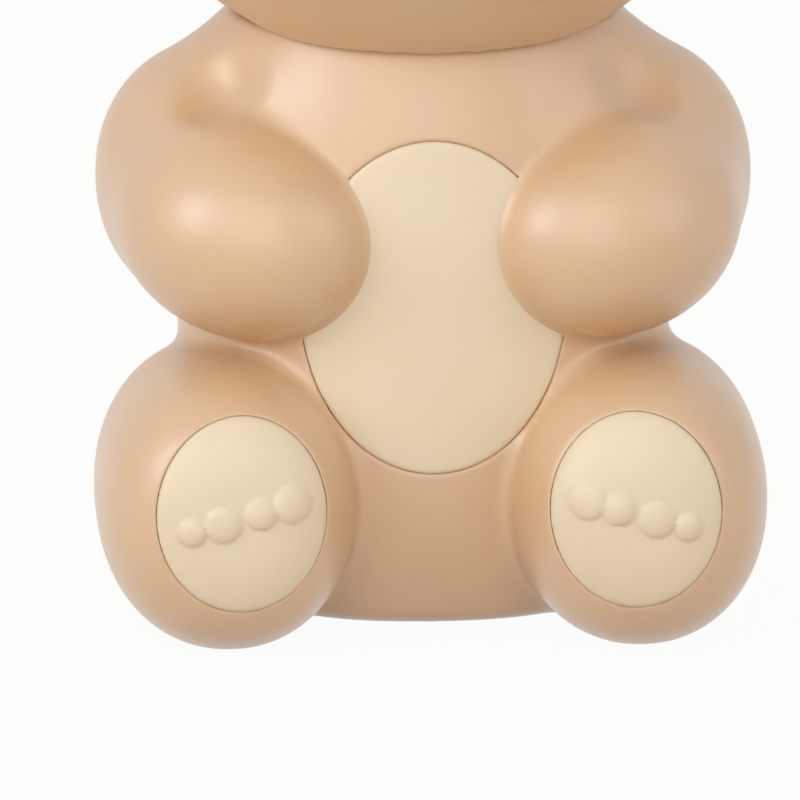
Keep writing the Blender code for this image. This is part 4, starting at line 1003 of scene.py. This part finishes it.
def make_eyes():
    half_width, half_height = EYE_HALF_SIZES
    for side, label in SIDES:
        def dome(x, z):
            reach = ((x - side * EYE_X) / half_width) ** 2 + ((z - EYE_Z) / half_height) ** 2
            return EYE_RISE * np.sqrt(np.maximum(0, 1 - reach))

        def level(points):
            return oval_level(points, (side * EYE_X, EYE_Z), EYE_HALF_SIZES)

        eye = insert(f"{label}_eye_skin", (side * EYE_X, EYE_Z), EYE_HALF_SIZES, EYE_GRID, head_distance,
                     level, dome, EYE_EDGE)
        dress(eye, "brown_gloss", "head", f"{label}_eye")


# Small turned pieces seen from outside

def make_nozzle():
    """A cup open downward, with the barb for the foam tube on top."""
    profile = [(NOZZLE_BORE_RADIUS, NOZZLE_HIGH_Z - NOZZLE_TOP_WALL),
               (NOZZLE_BORE_RADIUS, NOZZLE_LOW_Z + NOZZLE_BORE_CHAMFER),
               (NOZZLE_BORE_RADIUS + NOZZLE_BORE_CHAMFER, NOZZLE_LOW_Z),
               *low_edge(NOZZLE_RADIUS, NOZZLE_LOW_Z, NOZZLE_ROUNDING),
               (NOZZLE_RADIUS, NOZZLE_HIGH_Z),
               (BARB_RADIUS, NOZZLE_HIGH_Z),
               (BARB_RADIUS, NOZZLE_HIGH_Z + BARB_HEIGHT)]
    nozzle = turned("foam_nozzle_skin", (0, NOZZLE_Y), profile)
    dress(shade(nozzle), "white_plastic", "head", "foam_nozzle")


def make_sensor_window():
    low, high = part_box("sensor_window")
    profile = [*low_edge(SENSOR_RADIUS, low[2], WINDOW_ROUNDING), (SENSOR_RADIUS, high[2])]
    window = turned("sensor_window_skin", (0, SENSOR_Y), profile)
    dress(shade(window), "smoked_plastic", "head", "sensor_window")


def make_button():
    """A flanged button with a shallow dish for the fingertip."""
    low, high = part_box("power_button")
    height = high[1] - low[1]
    dish = [(BUTTON_RADIUS * share, height - BUTTON_DISH_DEPTH * (1 - share**2))
            for share in BUTTON_DISH_LINES]
    profile = [(BUTTON_FLANGE_RADIUS, 0), (BUTTON_FLANGE_RADIUS, BUTTON_FLANGE_HEIGHT),
               (BUTTON_RADIUS, BUTTON_FLANGE_HEIGHT), *high_edge(BUTTON_RADIUS, height, BUTTON_ROUNDING),
               *dish]
    button = pointed(turned("power_button_skin", (0, 0), profile), (0, low[1], BUTTON_Z), BACKWARD)
    dress(shade(button), "cream_trim", "button", "power_button")


def make_status_light():
    low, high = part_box("status_light")
    profile = [(LIGHT_RADIUS, 0), *high_edge(LIGHT_RADIUS, high[1] - low[1], LIGHT_ROUNDING)]
    light = turned("status_light_skin", (0, 0), profile, segments=32)
    dress(shade(pointed(light, (0, low[1], LIGHT_Z), BACKWARD)), "frosted_plastic", "head", "status_light")


# CAD pieces that keep their shape

KEPT = {
    "silicone_flap": ["port_flap"],
    "frosted_plastic": ["soap_tank", "dip_tube", "foam_tube"],
    "base_plastic": ["base_plate"],
    "rubber_mat": ["base_mat"],
    "grey_silicone": ["neck_seal", "pump_diaphragm"],
    "white_plastic": ["head_base", "pump_cover", "pump_valve_plate", "pump_housing", "swing_plate",
                      "eccentric_cam", "mesh_holder", "dip_tube_strainer", "battery_cradle"],
    "steel": ["motor_case", "motor_shaft", "foam_screen_lower", "foam_screen_upper", "usb_socket"]
             + [f"{kind}_screw_{i}" for kind in ("base", "head", "pump") for i in (1, 2, 3, 4)],
    "smoked_plastic": ["tact_switch"],
    "circuit_board": ["main_board", "sensor_board"],
    "cell_wrap": ["battery_cell"],
}


def dress_kept_nodes():
    for slot, names in KEPT.items():
        for name in names:
            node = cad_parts[name]
            node.data.materials.clear()
            node.data.materials.append(MATERIALS[slot])


# Floor, light and camera

def seen_directly(tree):
    """1 for rays that the eye follows to the floor or the backdrop, 0 for those that light the object."""
    path = tree.nodes.new("ShaderNodeLightPath")
    total = path.outputs[SEEN_RAYS[0]]
    for kind in SEEN_RAYS[1:]:
        step = tree.nodes.new("ShaderNodeMath")
        step.operation = "MAXIMUM"
        tree.links.new(total, step.inputs[0])
        tree.links.new(path.outputs[kind], step.inputs[1])
        total = step.outputs[0]
    return total


def show(tree, share, first, second, output):
    """Sends to output the first shader where share is 0 and the second where it is 1."""
    mix = tree.nodes.new("ShaderNodeMixShader")
    tree.links.new(share, mix.inputs[0])
    tree.links.new(first.outputs[0], mix.inputs[1])
    tree.links.new(second.outputs[0], mix.inputs[2])
    tree.links.new(mix.outputs[0], output)


def make_floor():
    """A floor that looks white and lights the object from below in a warm colour."""
    bm = bmesh.new()
    bmesh.ops.create_circle(bm, cap_ends=True, segments=96, radius=FLOOR_RADIUS)
    floor = object_from("floor", bm)
    material = bpy.data.materials.new("floor")
    material.use_nodes = True
    tree = material.node_tree
    shader = tree.nodes["Principled BSDF"]
    shader.inputs["Base Color"].default_value = (*FLOOR_COLOUR, 1)
    shader.inputs["Roughness"].default_value = 0.8
    white = tree.nodes.new("ShaderNodeEmission")
    white.inputs["Color"].default_value = (1, 1, 1, 1)
    share = tree.nodes.new("ShaderNodeMath")
    share.operation = "MULTIPLY"
    share.inputs[1].default_value = FLOOR_WHITE
    tree.links.new(seen_directly(tree), share.inputs[0])
    show(tree, share.outputs[0], shader, white, tree.nodes["Material Output"].inputs["Surface"])
    floor.data.materials.append(material)


def make_world():
    """A white backdrop that lights the object in a slightly warm colour."""
    world = bpy.data.worlds.new("studio")
    world.use_nodes = True
    bpy.context.scene.world = world
    tree = world.node_tree
    light = tree.nodes["Background"]
    light.inputs["Color"].default_value = (*WORLD_COLOUR, 1)
    light.inputs["Strength"].default_value = WORLD_STRENGTH
    white = tree.nodes.new("ShaderNodeBackground")
    white.inputs["Strength"].default_value = 1.0
    show(tree, seen_directly(tree), light, white, tree.nodes["World Output"].inputs["Surface"])


def direction(azimuth, elevation):
    """From the object outward. Angles are in degrees, azimuth 0 is in front."""
    turn, rise = math.radians(azimuth), math.radians(elevation)
    level = math.cos(rise)
    return Vector((math.sin(turn) * level, -math.cos(turn) * level, math.sin(rise)))


def lamp(name, azimuth, elevation, distance, size, power, colour=(1, 1, 1)):
    """A square soft light aimed at the object."""
    data = bpy.data.lights.new(name, "AREA")
    data.size = size
    data.energy = power
    data.color = colour
    light = bpy.data.objects.new(name, data)
    bpy.context.scene.collection.objects.link(light)
    back = direction(azimuth, elevation)
    light.location = Vector(LAMP_TARGET) + back * distance
    light.rotation_euler = (-back).to_track_quat("-Z", "Y").to_euler()
    light.visible_camera = False


def make_lamps():
    lamp("side", -60, 24, distance=0.7, size=0.34, power=1.5, colour=(0.96, 1.0, 1.04))
    lamp("front", -8, 22, distance=1.1, size=1.0, power=4.0, colour=(0.97, 1.0, 1.03))
    lamp("right", 55, 20, distance=0.9, size=0.5, power=0.9)


def make_camera():
    """Long lens at the photograph's angle, aimed so the floor line and axis fall on their pixels."""
    data = bpy.data.cameras.new("camera")
    data.sensor_width = FILM_WIDTH
    data.lens = FILM_WIDTH * CAMERA_DISTANCE / (FRAME_PIXELS / PIXELS_PER_METRE)
    data.clip_start, data.clip_end = CAMERA_SEES
    camera = bpy.data.objects.new("camera", data)
    bpy.context.scene.collection.objects.link(camera)
    azimuth, elevation = math.radians(CAMERA_AZIMUTH), math.radians(CAMERA_ELEVATION)
    back = direction(CAMERA_AZIMUTH, CAMERA_ELEVATION)
    across = (FRAME_PIXELS / 2 - AXIS_PIXEL_X) / PIXELS_PER_METRE
    up = (FLOOR_PIXEL_Y - FRAME_PIXELS / 2) / PIXELS_PER_METRE + FEET_FRONT_Y * math.sin(elevation)
    target = Vector((across / math.cos(azimuth), 0, up / math.cos(elevation)))
    camera.location = target + back * CAMERA_DISTANCE
    camera.rotation_mode = "QUATERNION"
    camera.rotation_quaternion = (-back).to_track_quat("-Z", "Y")
    bpy.context.scene.camera = camera


bpy.context.scene.view_settings.view_transform = "Standard"
make_camera()
make_world()
make_lamps()
make_floor()
dress_kept_nodes()
make_body()
make_belly()
make_soles()
make_head()
make_ears()
make_muzzle()
make_nose()
make_eyes()
make_nozzle()
make_sensor_window()
make_button()
make_status_light()
